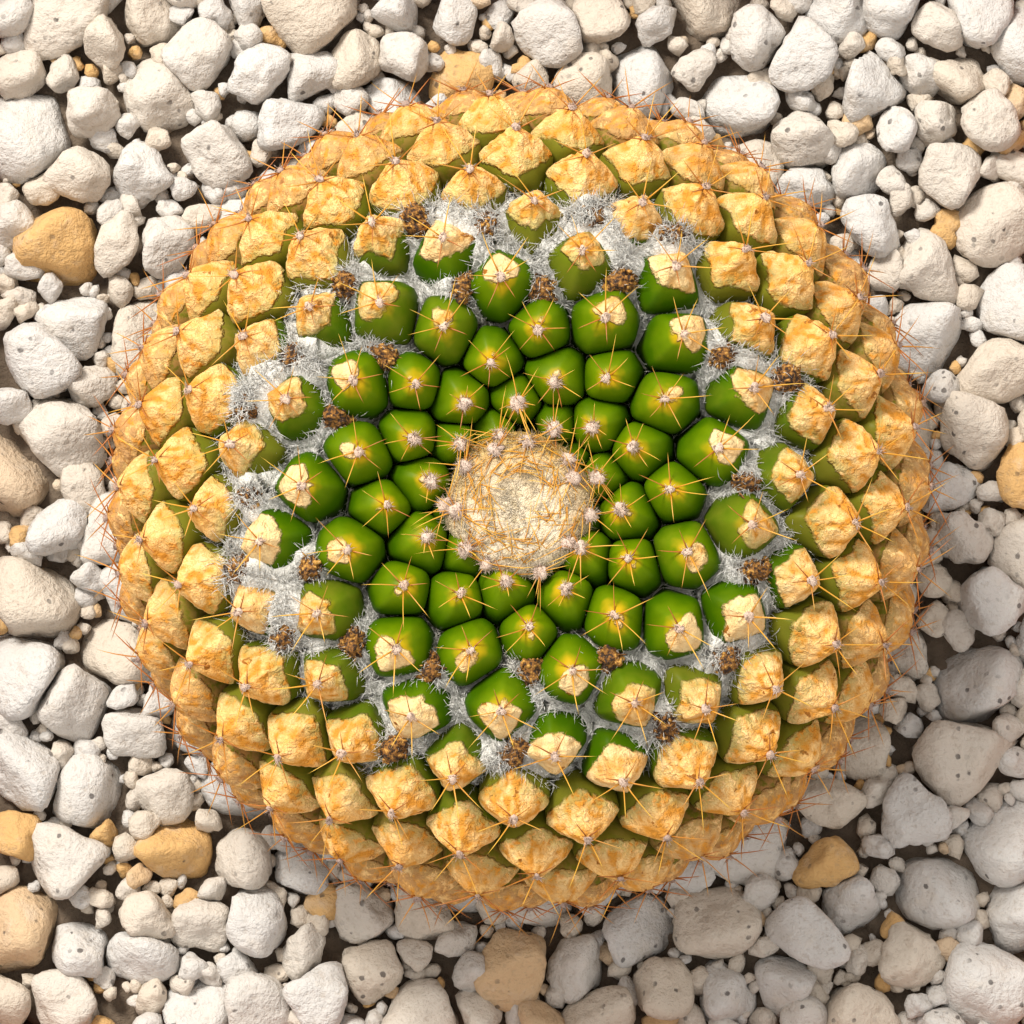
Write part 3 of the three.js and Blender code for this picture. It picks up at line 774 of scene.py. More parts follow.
@dataclass(frozen=True)
class RemainsFinish:
    """Crumbly brown remains of dried flowers."""

    dark: Colour = (0.030, 0.011, 0.003)
    brown: Colour = (0.27, 0.11, 0.015)
    ochre: Colour = (0.68, 0.36, 0.075)

    def material(self) -> Material:
        """Builds the material from the mark tint, the crumb's own colour value.

        Returns:
            The material.
        """
        paint = Paint("dried_flower")
        crumbs = paint.noise(0.62, 3, 0.7)
        own = paint.sway(paint.times(paint.mark("tint"), 0.6), crumbs, 2.6)
        colour = paint.blend(paint.band(own, 0.08, 0.32), self.dark, self.brown)
        colour = paint.blend(paint.band(own, 0.40, 0.72), colour, self.ochre)
        return paint.finish(Base_Color=colour, Roughness=0.7, Normal=paint.relief((crumbs, 0.5)))


@dataclass(frozen=True)
class PumiceFinish:
    """Off-white pumice with dark specks and pores, some stones tan, rusty or grey."""

    name: str = "pumice_stone"
    white: Colour = (0.64, 0.61, 0.575)
    cream: Colour = (0.64, 0.555, 0.455)
    tan: Colour = (0.66, 0.40, 0.16)
    grey: Colour = (0.40, 0.39, 0.39)
    speck: Colour = (0.07, 0.06, 0.055)
    # In the pumice the dust colour is mostly painted shade: it darkens the pores, the stones under the
    # plant, the sunk grit and the bed.
    dust: Colour = (0.36, 0.27, 0.185)

    def material(self) -> Material:
        """Builds the material from the stones' marks: tint, and a mark that blends in the dust colour as
        painted shade.

        Returns:
            The material.
        """
        paint = Paint(self.name)
        tint = paint.mark("tint")
        clouds = paint.noise(5.0)
        pits = paint.noise(1.1, 3, 0.7)
        middle, own = paint.cells(1.5)
        colour = paint.blend(paint.band(tint, 0.45, 0.9), self.white, self.cream)
        colour = paint.blend(paint.band(tint, 0.93, 0.975), colour, self.tan)
        colour = paint.blend(paint.band(tint, 0.03, 0.012), colour, self.grey)
        cloudy = paint.band(paint.sway(clouds, pits, 0.5), 0.5, 0.8, 0.0, 0.4)
        colour = paint.blend(cloudy, colour, self.cream)
        # Painted shade: the dust colour darkens the pores.
        hollow = paint.band(pits, 0.45, 0.33, 0.0, 0.30)
        colour = paint.blend(hollow, colour, self.dust)
        specks = paint.band(paint.sway(middle, pits, 0.5), 0.33, 0.2)
        specks = paint.times(paint.band(own, 0.74, 0.90, 0.0, 0.8), specks)
        specks = paint.times(specks, paint.band(clouds, 0.42, 0.6))
        colour = paint.blend(specks, colour, self.speck)
        # Painted shade from the mark: toward the dust colour.
        colour = paint.blend(paint.mark("painted_shade"), colour, self.dust)
        return paint.finish(
            Base_Color=colour,
            Roughness=0.92,
            Specular_IOR_Level=0.2,
            Normal=paint.relief((pits, 0.6)),
        )


@dataclass(frozen=True)
class SoilFinish:
    """Dark brown potting mix with paler crumbs."""

    dark: Colour = (0.028, 0.017, 0.011)
    brown: Colour = (0.10, 0.058, 0.032)
    crumb: Colour = (0.26, 0.18, 0.11)

    def material(self) -> Material:
        """Builds the material.

        Returns:
            The material.
        """
        paint = Paint("potting_soil")
        crumbs = paint.noise(2.2, 3, 0.7)
        middle, _ = paint.cells(2.4)
        colour = paint.blend(paint.band(crumbs, 0.35, 0.62), self.dark, self.brown)
        colour = paint.blend(paint.band(middle, 0.22, 0.12), colour, self.crumb)
        return paint.finish(Base_Color=colour, Roughness=0.95, Normal=paint.relief((crumbs, 1.2)))


@dataclass(frozen=True)
class ClayFinish:
    """Weathered terracotta: fine grit, cloudy firing colour, lime bloom and scuffed edges."""

    clay: Colour = (0.47, 0.195, 0.098)
    fired: Colour = (0.33, 0.115, 0.055)
    dust: Colour = (0.60, 0.34, 0.21)
    lime: Colour = (0.72, 0.64, 0.55)
    grit: Colour = (0.18, 0.075, 0.04)

    def material(self) -> Material:
        """Builds the material from the pot's marks height and edge.

        Returns:
            The material.
        """
        paint = Paint("terracotta_clay")
        clouds = paint.noise(26.0, 3, 0.6)
        blotch = paint.noise(7.0, 4, 0.65)
        grain = paint.noise(0.7, 3, 0.7)
        middle, _ = paint.cells(1.7)
        colour = paint.blend(paint.band(clouds, 0.35, 0.68), self.fired, self.clay)
        colour = paint.blend(paint.band(grain, 0.52, 0.75, 0.0, 0.5), colour, self.dust)
        colour = paint.blend(paint.band(middle, 0.16, 0.08), colour, self.grit)
        tide = paint.sway(paint.mark("height"), blotch, 0.55)
        foot = paint.times(paint.band(tide, 0.34, 0.10, 0.0, 0.55), paint.band(blotch, 0.42, 0.62))
        colour = paint.blend(foot, colour, self.lime)
        brow = paint.times(paint.band(tide, 0.70, 0.86), paint.band(tide, 1.0, 0.86, 0.0, 0.6))
        brow = paint.times(brow, paint.band(paint.noise(11.0, 4, 0.7), 0.5, 0.66))
        colour = paint.blend(brow, colour, self.lime)
        worn = paint.times(paint.mark("edge"), paint.band(paint.noise(3.5, 4, 0.7), 0.42, 0.6, 0.0, 0.75))
        colour = paint.blend(worn, colour, self.dust)
        return paint.finish(
            Base_Color=colour,
            Roughness=paint.band(clouds, 0.3, 0.7, 0.93, 0.78),
            Specular_IOR_Level=0.3,
            Normal=paint.relief((blotch, 0.35), (grain, 0.2)),
        )


# Painted shade: the bed's dark colour makes the gaps between the stones read as shadow, with some dark
# soil.
SHADED_BED_PUMICE = PumiceFinish("pumice_bed", dust=(0.13, 0.09, 0.058))
AREOLE_FELT = WoolFinish("areole_felt", (0.93, 0.70, 0.55), (0.42, 0.30, 0.26), (0.76, 0.44, 0.24))
CROWN_FELT = WoolFinish("crown_felt", (0.95, 0.81, 0.60), (0.68, 0.40, 0.075), (0.86, 0.66, 0.34))
TUFT_FELT = WoolFinish("tuft_felt", (0.95, 0.75, 0.62), (0.72, 0.50, 0.36), (0.78, 0.54, 0.38))


@dataclass(frozen=True)
class Growth:
    """How the tubercles spread from the growing point, as the stem's solid has it.

    Each row of stages is an age, the areole's radius and height, the lean from the vertical in degrees and
    the length of the tubercle.
    """

    level: float = 132.0
    divergence: float = math.radians(137.54)
    phase: float = math.radians(237.6)
    first: int = 12
    last: int = 264
    last_ghost: int = 318
    stages: tuple[tuple[float, ...], ...] = (
        (0, 0.0, 13.6, 0, 4.2),
        (10, 5.6, 14.2, -18, 4.8),
        (20, 10.2, 15.6, -19, 6.0),
        (33, 15.8, 17.6, -12, 7.9),
        (49, 23.8, 19.6, 0, 9.0),
        (63, 31.7, 20.4, 13, 9.5),
        (82, 40.3, 18.6, 27, 9.6),
        (100, 46.2, 15.5, 40, 9.6),
        (120, 50.7, 11.4, 52, 9.6),
        (144, 54.6, 5.8, 64, 9.6),
        (170, 57.0, -1.2, 75, 9.6),
        (195, 57.6, -8.4, 85, 9.5),
        (220, 57.0, -15.2, 92, 9.3),
        (245, 55.2, -21.5, 98, 9.0),
        (270, 52.2, -27.0, 102, 8.4),
        (320, 45.5, -36.0, 106, 7.0),
    )

    def at(self, age: Values) -> tuple[Array, ...]:
        """Where and how a tubercle of some age stands.

        Args:
            age: Age in tubercles from the growing point.

        Returns:
            The areole's radius and height above the level, the lean in radians and the length.
        """
        table = np.array(self.stages)
        radius, height, lean, length = (np.interp(age, table[:, 0], table[:, k]) for k in range(1, 5))
        return radius, height, np.radians(lean), length

    def point(self, age: Values, angle: Values, rise: Values) -> Array:
        """A place on the plant.

        Args:
            age: Age in tubercles from the growing point.
            angle: Longitude in radians.
            rise: 0 on the floor of the axils, 1 at the areoles' level.

        Returns:
            The place in millimetres.
        """
        radius, height, lean, length = self.at(age)
        back = (1 - rise) * length
        out = np.maximum(0, radius - back * np.sin(lean))
        up = self.level + height - back * np.cos(lean)
        return np.stack(np.broadcast_arrays(out * np.cos(angle), out * np.sin(angle), up), axis=-1)

    def longitude(self, age: float) -> float:
        """Longitude of a tubercle."""
        return self.phase - age * self.divergence


@dataclass(frozen=True)
class Corner:
    """A place in the axils where cells meet."""

    age: float
    angle: float


@dataclass
class Cell:
    """One tubercle: its cell's corners and its own directions."""

    TURNED_UP = 0.18

    age: int
    direction: Vector
    corners: list[tuple[float, Corner]] = field(default_factory=list)
    axis: Array | None = None
    east: Array | None = None
    north: Array | None = None
    tip: Array | None = None
    root: Array | None = None

    @property
    def up(self) -> Array:
        """The direction that the areole faces, turned a little toward the plant's top."""
        return unit(self.axis + self.TURNED_UP * self.north)

    @property
    def crest(self) -> Array:
        """The direction square to up that points most toward the plant's top."""
        return unit(self.north - self.up * np.dot(self.north, self.up))


Root = tuple[Cell, Array, Array, float, float]


class Lattice:
    """The cells of the stem, found as neighbours on a sphere that keeps the spiral's shape."""

    STEP = 0.25
    MIDDLE_AGE = 120
    TO_NORMAL = 0.55
    POLE = 0.999999

    def __init__(self, growth: Growth) -> None:
        """Works out every cell from the growing point to past the last tubercle.

        Args:
            growth: How the tubercles spread.
        """
        self.growth = growth
        ages = np.arange(1, growth.last_ghost + 2 + self.STEP / 2, self.STEP)
        track = growth.point(ages, 0.0, 0.5)
        steps = np.linalg.norm(np.diff(track, axis=0), axis=1)
        spread = np.concatenate([[0], np.cumsum(steps / (0.5 * (track[1:, 0] + track[:-1, 0])))])
        spread -= np.interp(self.MIDDLE_AGE, ages, spread)
        bm = bmesh.new()
        names = bm.verts.layers.int.new("age")
        self.cells: dict[int, Cell] = {}
        for age in range(1, growth.last_ghost + 1):
            drop = float(np.interp(age, ages, spread))
            angle = growth.longitude(age)
            place = Vector(tuple(heading(angle) / math.cosh(drop) - STRAIGHT_UP * math.tanh(drop)))
            vert = bm.verts.new(place)
            vert[names] = age
            self.cells[age] = Cell(age, place)
        bmesh.ops.convex_hull(bm, input=bm.verts)
        bm.normal_update()
        for face in bm.faces:
            middle = sum((v.co for v in face.verts), Vector()).normalized()
            direction = (middle * (1 - self.TO_NORMAL) + face.normal * self.TO_NORMAL).normalized()
            height = max(-self.POLE, min(self.POLE, direction.z))
            age = float(np.interp(-math.atanh(height), spread, ages))
            corner = Corner(age, math.atan2(direction.y, direction.x))
            for vert in face.verts:
                cell = self.cells[vert[names]]
                cell.corners.append((self.bearing(cell.direction, direction), corner))
        bm.free()
        for cell in self.cells.values():
            cell.corners.sort(key=lambda pair: pair[0])
            self.orient(cell)

    @staticmethod
    def bearing(axis: Vector, direction: Vector) -> float:
        """Angle of a direction round an axis, anticlockwise from the east."""
        east = Vector((-axis.y, axis.x, 0)).normalized()
        return math.atan2(direction.dot(axis.normalized().cross(east)), direction.dot(east))

    def orient(self, cell: Cell) -> None:
        """Works out a tubercle's axis, its sideways and upward directions and its ends.

        Args:
            cell: The tubercle's cell, which takes them.
        """
        angle = self.growth.longitude(cell.age)
        lean = float(self.growth.at(cell.age)[2])
        out = math.sin(lean)
        cell.axis = np.array((out * math.cos(angle), out * math.sin(angle), math.cos(lean)))
        cell.east = aside(heading(angle))
        cell.north = np.cross(cell.axis, cell.east)
        cell.tip = self.growth.point(cell.age, angle, 1.0)
        cell.root = self.growth.point(cell.age, angle, 0.0)

    def tubercles(self) -> list[Cell]:
        """The cells that carry a tubercle, from the youngest."""
        return [self.cells[age] for age in range(self.growth.first, self.growth.last + 1)]

    def border(self, cell: Cell, rise: float, per_side: int) -> Array:
        """Lays out places round a cell's border.

        Args:
            cell: The cell.
            rise: Their rise, from 0 to 1.
            per_side: Places along each side.

        Returns:
            The places in order.
        """
        ages = np.array([corner.age for _, corner in cell.corners])
        angles = np.array([corner.angle for _, corner in cell.corners])
        posts = self.growth.point(ages, angles, rise)
        share = (np.arange(per_side) / per_side)[None, :, None]
        sides = posts[:, None] * (1 - share) + np.roll(posts, -1, axis=0)[:, None] * share
        return sides.reshape(-1, 3)


@dataclass
class Stem:
    """The stem with all its tubercles, as a younger and an older part that meet edge to edge."""

    lattice: Lattice
    parting_age: int = 118
    foot_radius: float = 41.6
    foot_depth: float = 96.0
    shoulders: Span = (0.64, 0.50)
    shoulder_bend: float = 6.0
    dome_powers: Span = (4.4, 0.60)
    top_bulge: float = 0.26
    under_cut: float = 0.20
    keel_reach: float = 1.20
    cork_ages: tuple[float, ...] = (42, 48, 55, 62, 70, 85, 110, 150, 264)
    cork_borders: tuple[float, ...] = (1.12, 1.0, 0.90, 0.81, 0.69, 0.56, 0.50, 0.54, 0.60)
    sunny_side: float = math.radians(80)
    squaring_ages: Span = (45, 78)
    keeling_ages: Span = (45, 75)
    bulging_ages: Span = (48, 85)
    crumpling_ages: Span = (44, 76)
    rounding_ages: Span = (125, 170)
    settling_ages: Span = (120, 170)
    edging_ages: Span = (66, 100)
    slope_top: float = 1.04
    waist_age: float = 68.0
    waist_span: float = 17.0
    waist_depth: float = 0.17
    cell_gap: float = 0.03
    young_rises: tuple[float, ...] = (
        *(0, 0.25, 0.4, 0.5, 0.58, 0.65, 0.71),
        *(0.77, 0.82, 0.87, 0.91, 0.945, 0.975, 1.0),
    )
    old_rises: tuple[float, ...] = (0, 0.3, 0.45, 0.56, 0.66, 0.75, 0.83, 0.90, 0.96, 1.0)
    young_side: int = 8
    old_side: int = 6
    open_edge_drop: float = 18.0
    weld: float = 0.004

    def width(self, rise: float, age: float) -> float:
        """How wide a tubercle is: a dome when young, a pyramid when old.

        Args:
            rise: A rise, from 0 to 1.
            age: The tubercle's age.

        Returns:
            The width, as a share of the cell's.
        """
        power, root = self.dome_powers
        dome = (1 - rise**power) ** root
        ripe = float(smoothstep(age, *self.squaring_ages))
        shoulder = self.shoulders[0] + (self.shoulders[1] - self.shoulders[0]) * ripe
        slope = (self.slope_top - rise) / (self.slope_top - shoulder)
        pyramid = (1 + slope**-self.shoulder_bend) ** (-1 / self.shoulder_bend)
        old = (0.45 + 0.45 * ripe) * (1 - 0.5 * float(smoothstep(age, *self.rounding_ages)))
        waist_share = math.exp(-(((age - self.waist_age) / self.waist_span) ** 2))
        waist = self.waist_depth * waist_share * math.sin(math.pi * rise) ** 0.7
        return max(0.0, dome + (pyramid - dome) * old - waist)

    def outline(self, cell: Cell, rise: float, per_side: int) -> Array:
        """Lays out one ring of a tubercle, four-keeled toward the tip and fuller on its upper side.

        Args:
            cell: The tubercle's cell.
            rise: The ring's rise, from 0 to 1.
            per_side: Places along each side.

        Returns:
            The ring's places.
        """
        ring = self.lattice.border(cell, rise, per_side)
        middle = cell.root + (cell.tip - cell.root) * rise
        if rise == 0:
            return ring
        ripe = float(smoothstep(cell.age, *self.keeling_ages))
        for _ in range(round(2 + 3 * (1 - ripe) * rise)):
            ring = (np.roll(ring, 1, axis=0) + 2 * ring + np.roll(ring, -1, axis=0)) / 4
        spoke = ring - middle
        reach = np.linalg.norm(spoke, axis=1)
        east = np.abs(spoke @ cell.east) / reach
        north = (spoke @ cell.north) / reach
        bend = 1.35 - 0.20 * ripe
        keeled = self.keel_reach * reach.mean() / (east**bend + np.abs(north) ** bend) ** (1 / bend)
        aged = float(smoothstep(cell.age, *self.rounding_ages))
        share = (0.45 + 0.40 * ripe - 0.45 * aged) * float(smoothstep(rise, 0.1, 0.6))
        shaped = reach + (keeled - reach) * share
        hump = float(smoothstep(cell.age, *self.bulging_ages)) * math.sin(math.pi * rise) * rise
        fuller = self.top_bulge * np.clip(north, 0, 1) + self.under_cut * np.clip(north, -1, 0)
        shaped = shaped * self.width(rise, cell.age) * (1 + hump * fuller)
        shaped = np.minimum(shaped, reach * (1 - self.cell_gap * rise))
        return middle + spoke * (shaped / reach)[:, None]

    @staticmethod
    def outward(cell: Cell, places: Array) -> Array:
        """Finds the way out of the skin.

        Args:
            cell: The tubercle's cell.
            places: The skin's places.

        Returns:
            A direction for each place.
        """
        along = np.roll(places, -1, axis=1) - np.roll(places, 1, axis=1)
        normal = unit(np.cross(along, np.gradient(places, axis=0)))
        core = (cell.root + cell.tip) / 2
        sign = np.sign(np.sum(normal * (places - core), axis=-1, keepdims=True))
        normal *= np.where(sign == 0, 1, sign)
        normal[-1] = cell.axis
        return normal

    def skin_rings(self, cell: Cell, rises: Array, per_side: int) -> Skin:
        """Lays out one tubercle.

        Args:
            cell: The tubercle's cell.
            rises: The rings' rises, from 0 to 1.
            per_side: Places along each side of the cell.

        Returns:
            Places as (rings, sides, 3) and the marks as (rings, sides).
        """
        age = cell.age
        places = np.array([self.outline(cell, rise, per_side) for rise in rises])
        rise = np.repeat(rises[:, None], places.shape[1], axis=1)
        offset = places - cell.tip
        bearing = np.arctan2(offset @ cell.north, offset @ cell.east)
        bearing[-1] = 0
        upper = np.sin(bearing) * (rise < 1)
        seed = age * 7.31
        spoke = np.stack([np.cos(bearing) * 1.2 + seed, np.sin(bearing) * 1.2, rise * 0.7], axis=-1)
        border = np.interp(age, self.cork_ages, self.cork_borders)
        shift = -0.14 + 0.02 * smoothstep(age, *self.edging_ages)
        cork = rise - border + 0.08 * lumps(spoke, 1.0) + shift * upper
        sun = 0.5 + 0.5 * math.cos(self.lattice.growth.longitude(age) - self.sunny_side)
        crumple = float(smoothstep(age, *self.crumpling_ages)) * (0.75 + 0.35 * sun)
        crumple = crumple * (1 - 0.5 * float(smoothstep(age, *self.settling_ages)))
        plates = 0.8 * flat_plates(places, 2.3) + 0.5 * flat_plates(places, 1.2)
        folds = 1.2 * np.abs(lumps(places, 2.4, 3.0)) - 0.25
        wave = plates + folds - 0.62
        held = smoothstep(rise, 0.25, 0.5) * (1 - 0.8 * smoothstep(rise, 0.95, 1.0))
        inside = smoothstep(cork, -0.06, 0.03)
        lift = crumple * inside * held * (0.38 * wave + 0.12) + 0.08 * held * lumps(places, 4.5, 1.7)
        tone = 0.5 + 0.42 * math.sin(age * 12.9898) + 0.25 * (sun - 0.5)
        marks = {
            "rise": rise,
            "age": np.full_like(rise, age),
            "cork": cork,
            "crease": np.clip(wave * 1.5, -1, 1),
            "tone": np.full_like(rise, tone),
        }
        return places + self.outward(cell, places) * lift[..., None], marks

    def part(self, cells: list[Cell], rises: Array, per_side: int) -> BMesh:
        """Gathers the skins of some tubercles, joined where their cells meet.

        Args:
            cells: The tubercles' cells.
            rises: The rings' rises.
            per_side: Places along each side of a cell.

        Returns:
            The skin, still open inside.
        """
        skins = [self.skin_rings(cell, rises, per_side) for cell in cells]
        bm = join_skins(skins, partial(Pattern.tube, base=False))
        rise = bm.verts.layers.float["rise"]
        floor = [v for v in bm.verts if v[rise] < 0.001]
        bmesh.ops.remove_doubles(bm, verts=floor, dist=self.weld * MM)
        return bm

    def build(self, finish: FleshFinish) -> list[Piece]:
        """Builds the two parts, closes them under the wool and down in the gravel, and dresses them.

        Args:
            finish: The flesh's finish.

        Returns:
            The younger and the older part.
        """
        material = finish.material()
        cells = self.lattice.tubercles()
        inner = [cell for cell in cells if cell.age < self.parting_age]
        outer = [cell for cell in cells if cell.age >= self.parting_age]
        young = self.part(inner, np.array(self.young_rises), self.young_side)
        old = self.part(outer, np.array(self.old_rises), self.old_side)
        self.close(old)
        for bm in (young, old):
            self.seal(bm)
        return [
            finish_piece("stem_young", young, material, ["stem"]),
            finish_piece("stem_old", old, material, ["stem"]),
        ]

    def close(self, bm: BMesh) -> None:
        """Carries the skin's lower edge down to a foot in the gravel.

        Args:
            bm: The older part.
        """
        limit = (self.lattice.growth.level - self.open_edge_drop) * MM
        lower = [edge for edge in bm.edges if edge.is_boundary and edge.verts[0].co.z < limit]
        made = bmesh.ops.extrude_edge_only(bm, edges=lower)["geom"]
        for vert in only(bmesh.types.BMVert, made):
            reach = math.hypot(vert.co.x, vert.co.y)
            vert.co.x *= self.foot_radius * MM / reach
            vert.co.y *= self.foot_radius * MM / reach
            vert.co.z = self.foot_depth * MM

    @staticmethod
    def seal(bm: BMesh) -> None:
        """Closes the open edges inside the plant and turns the faces outward."""
        bmesh.ops.holes_fill(bm, edges=[edge for edge in bm.edges if edge.is_boundary], sides=0)
        bmesh.ops.recalc_face_normals(bm, faces=bm.faces)


@dataclass
class Strands:
    """Many thin curved tapering strands in one mesh: spines or wool."""

    STEEP = 0.9
    TAPER_POWER = 1.3

    sides: int
    rings: int
    rows: list[tuple[Array, Array, Array, float, float, float]] = field(default_factory=list)

    def add(self, start: Array, way: Array, bend: Array, length: float, thick: float, tone: float) -> None:
        """Adds a strand from its root along a way, with its bend in shares of its length and a tone."""
        self.rows.append((start, way, bend, length, thick, tone))

    def mesh(self, name: str, tone_mark: str, tip_share: float = 0.2) -> Mesh:
        """Makes the mesh.

        Args:
            name: Its name.
            tone_mark: Name of the mark for the strands' tones.
            tip_share: Share of the thickness left near the tip.

        Returns:
            The mesh, with the marks along and tone_mark.
        """
        start, way, bend, length, thick, tone = (np.array(column) for column in zip(*self.rows))
        share = np.linspace(0, 1, self.rings)
        length = length[:, None, None]
        spine = start[:, None] + way[:, None] * share[None, :, None] * length
        spine = spine + bend[:, None] * (share**2)[None, :, None] * length
        tangent = unit(way[:, None] + 2 * bend[:, None] * share[None, :, None])
        square = np.where(np.abs(way[:, 2:]) < self.STEEP, STRAIGHT_UP, np.array((1.0, 0.0, 0.0)))
        right = unit(np.cross(tangent, np.repeat(square[:, None], self.rings, axis=1)))
        over = np.cross(right, tangent)
        turn = (np.arange(self.sides) / self.sides * FULL_TURN)[None, None, :, None]
        taper = 1 - (1 - tip_share) * share**self.TAPER_POWER
        taper[-1] = 0
        radius = 0.5 * thick[:, None] * taper[None, :]
        circle = right[:, :, None] * np.cos(turn) + over[:, :, None] * np.sin(turn)
        rings = spine[:, :, None] + circle * radius[:, :, None, None]
        pattern = Pattern.tube(self.sides, self.rings)
        along = np.broadcast_to(share[None, :, None], rings.shape[:3])
        marks = {"along": pattern.ring_places(along), tone_mark: tone}
        return pattern.repeat(name, pattern.ring_places(rings), marks)


@dataclass
class Spines:
    """The spines of every areole, each set clear of the flesh round it."""

    lattice: Lattice
    crown: "CrownWool"
    thick: float = 0.235
    felt_depth: float = 0.35
    seed: int = 77
    lowest: float = 104.5
    tangle: int = 220
    tuft_spines: int = 6
    last_tuft_spines: int = 24
    spread: float = 0.35
    wobble: float = 16.0
    least_tilt: float = 16.0
    loose_tilt: float = 18.0
    young_tilt: float = 30.0
    tries: int = 8
    next_tilt: float = 7.0
    layout: tuple[tuple[float, float, float], ...] = (
        (124, 3.9, 0.9),
        (58, 4.0, 0.9),
        (196, 5.1, 0.45),
        (346, 5.3, 0.45),
        (243, 6.4, 0.14),
        (297, 6.1, 0.14),
    )

    def build(self, stem: list[Piece], finish: SpineFinish) -> None:
        """Grows the spines against the stem's skin and dresses them.

        Args:
            stem: The stem's parts.
            finish: The spines' finish.
        """
        scene = bpy.context.evaluated_depsgraph_get()
        flesh = [BVHTree.FromObject(part, scene) for part in stem]
        strands = Strands(5, 5)
        draw = Random(self.seed)
        for cell in self.lattice.tubercles():
            self.grow(cell, strands, flesh, draw)
        self.grow_tufts(strands, draw)
        self.grow_tangle(strands, draw)
        mesh = strands.mesh("spines", "warm")
        finish_piece("spines", mesh, finish.material())

    def grow(self, cell: Cell, strands: Strands, flesh: list[BVHTree], draw: Random) -> None:
        """Grows the spines of one areole.

        Args:
            cell: The tubercle's cell.
            strands: Takes the spines.
            flesh: The stem's skin.
            draw: Random draws.
        """
        up = cell.up
        young = float(smoothstep(cell.age, 12, 48))
        old = float(smoothstep(cell.age, 70, 190))
        skipped = draw.randrange(len(self.layout)) if draw.random() < 0.45 - 0.3 * old else -1
        for index, (bearing, length, warmth) in enumerate(self.layout):
            turn = math.radians(bearing + draw.uniform(-self.wobble, self.wobble))
            across = cell.east * math.cos(turn) + cell.crest * math.sin(turn)
            reach = length * draw.uniform(0.8, 1.2) * (0.74 + 0.26 * young + 0.08 * old)
            base = cell.tip - up * self.felt_depth + across * self.spread
            tilt = self.least_tilt + self.young_tilt * (1 - young) + draw.uniform(0, self.loose_tilt)
            warm = min(1.0, warmth * draw.uniform(0.6, 1.2) + 0.5 * old)
            bend = across * draw.uniform(-0.06, 0.02) - up * draw.uniform(-0.03, 0.12)
            bend = bend + cell.east * draw.uniform(-0.09, 0.09)
            if index == skipped:
                continue
            for step in range(self.tries):
                angle = math.radians(tilt + self.next_tilt * step)
                way = unit(across * math.cos(angle) + up * math.sin(angle))
                low = cell.tip[2] + way[2] * reach < self.lowest and way[2] < 0
                start = Vector(tuple((cell.tip + up * 0.5 + way * 1.6) * MM))
                course = Vector(tuple(way + bend))
                blocked = any(tree.ray_cast(start, course, (reach - 1.4) * MM)[0] for tree in flesh)
                if not blocked and not low:
                    break
            strands.add(base, way, bend, reach, self.thick * draw.uniform(0.8, 1.15), warm)

    def grow_tufts(self, strands: Strands, draw: Random) -> None:
        """Grows long young spines out of the crown's tufts.

        Args:
            strands: Takes the spines.
            draw: Random draws.
        """
        for age, tip in self.crown.tuft_places():
            for _ in range(self.tuft_spines if age < self.last_tuft_spines else 0):
                across = heading(draw.uniform(0, FULL_TURN))
                lift = draw.uniform(0.15, 0.50)
                way = unit(across + STRAIGHT_UP * lift)
                bend = aside(across) * draw.uniform(-0.15, 0.15)
                bend = bend - STRAIGHT_UP * (lift * draw.uniform(0.3, 0.7))
                warm = draw.uniform(0.0, 0.6)
                strands.add(tip, way, bend, draw.uniform(3.6, 7.4), draw.uniform(0.17, 0.24), warm)

    def grow_tangle(self, strands: Strands, draw: Random) -> None:
        """Tangles fine young spines over the crown's wool.

        Args:
            strands: Takes the spines.
            draw: Random draws.
        """
        for _ in range(self.tangle):
            turn = draw.uniform(0, FULL_TURN)
            share = 0.98 - 0.54 * draw.random() ** 1.3
            outward = heading(turn)
            round_it = aside(outward) * draw.choice((-1, 1))
            spin = draw.uniform(0.1, 1.8)
            across = round_it * math.sin(spin) - outward * math.cos(spin)
            start = self.crown.surface(turn, share)
            lift = draw.uniform(0.12, 0.40)
            way = unit(across + STRAIGHT_UP * lift)
            bend = round_it * draw.uniform(-0.25, 0.25) - outward * draw.uniform(-0.05, 0.2)
            bend = bend - STRAIGHT_UP * (lift * draw.uniform(0.4, 0.8))
            length, thick = draw.uniform(2.6, 5.6), draw.uniform(0.12, 0.18)
            strands.add(start, way, bend, length, thick, draw.uniform(0.0, 0.35))


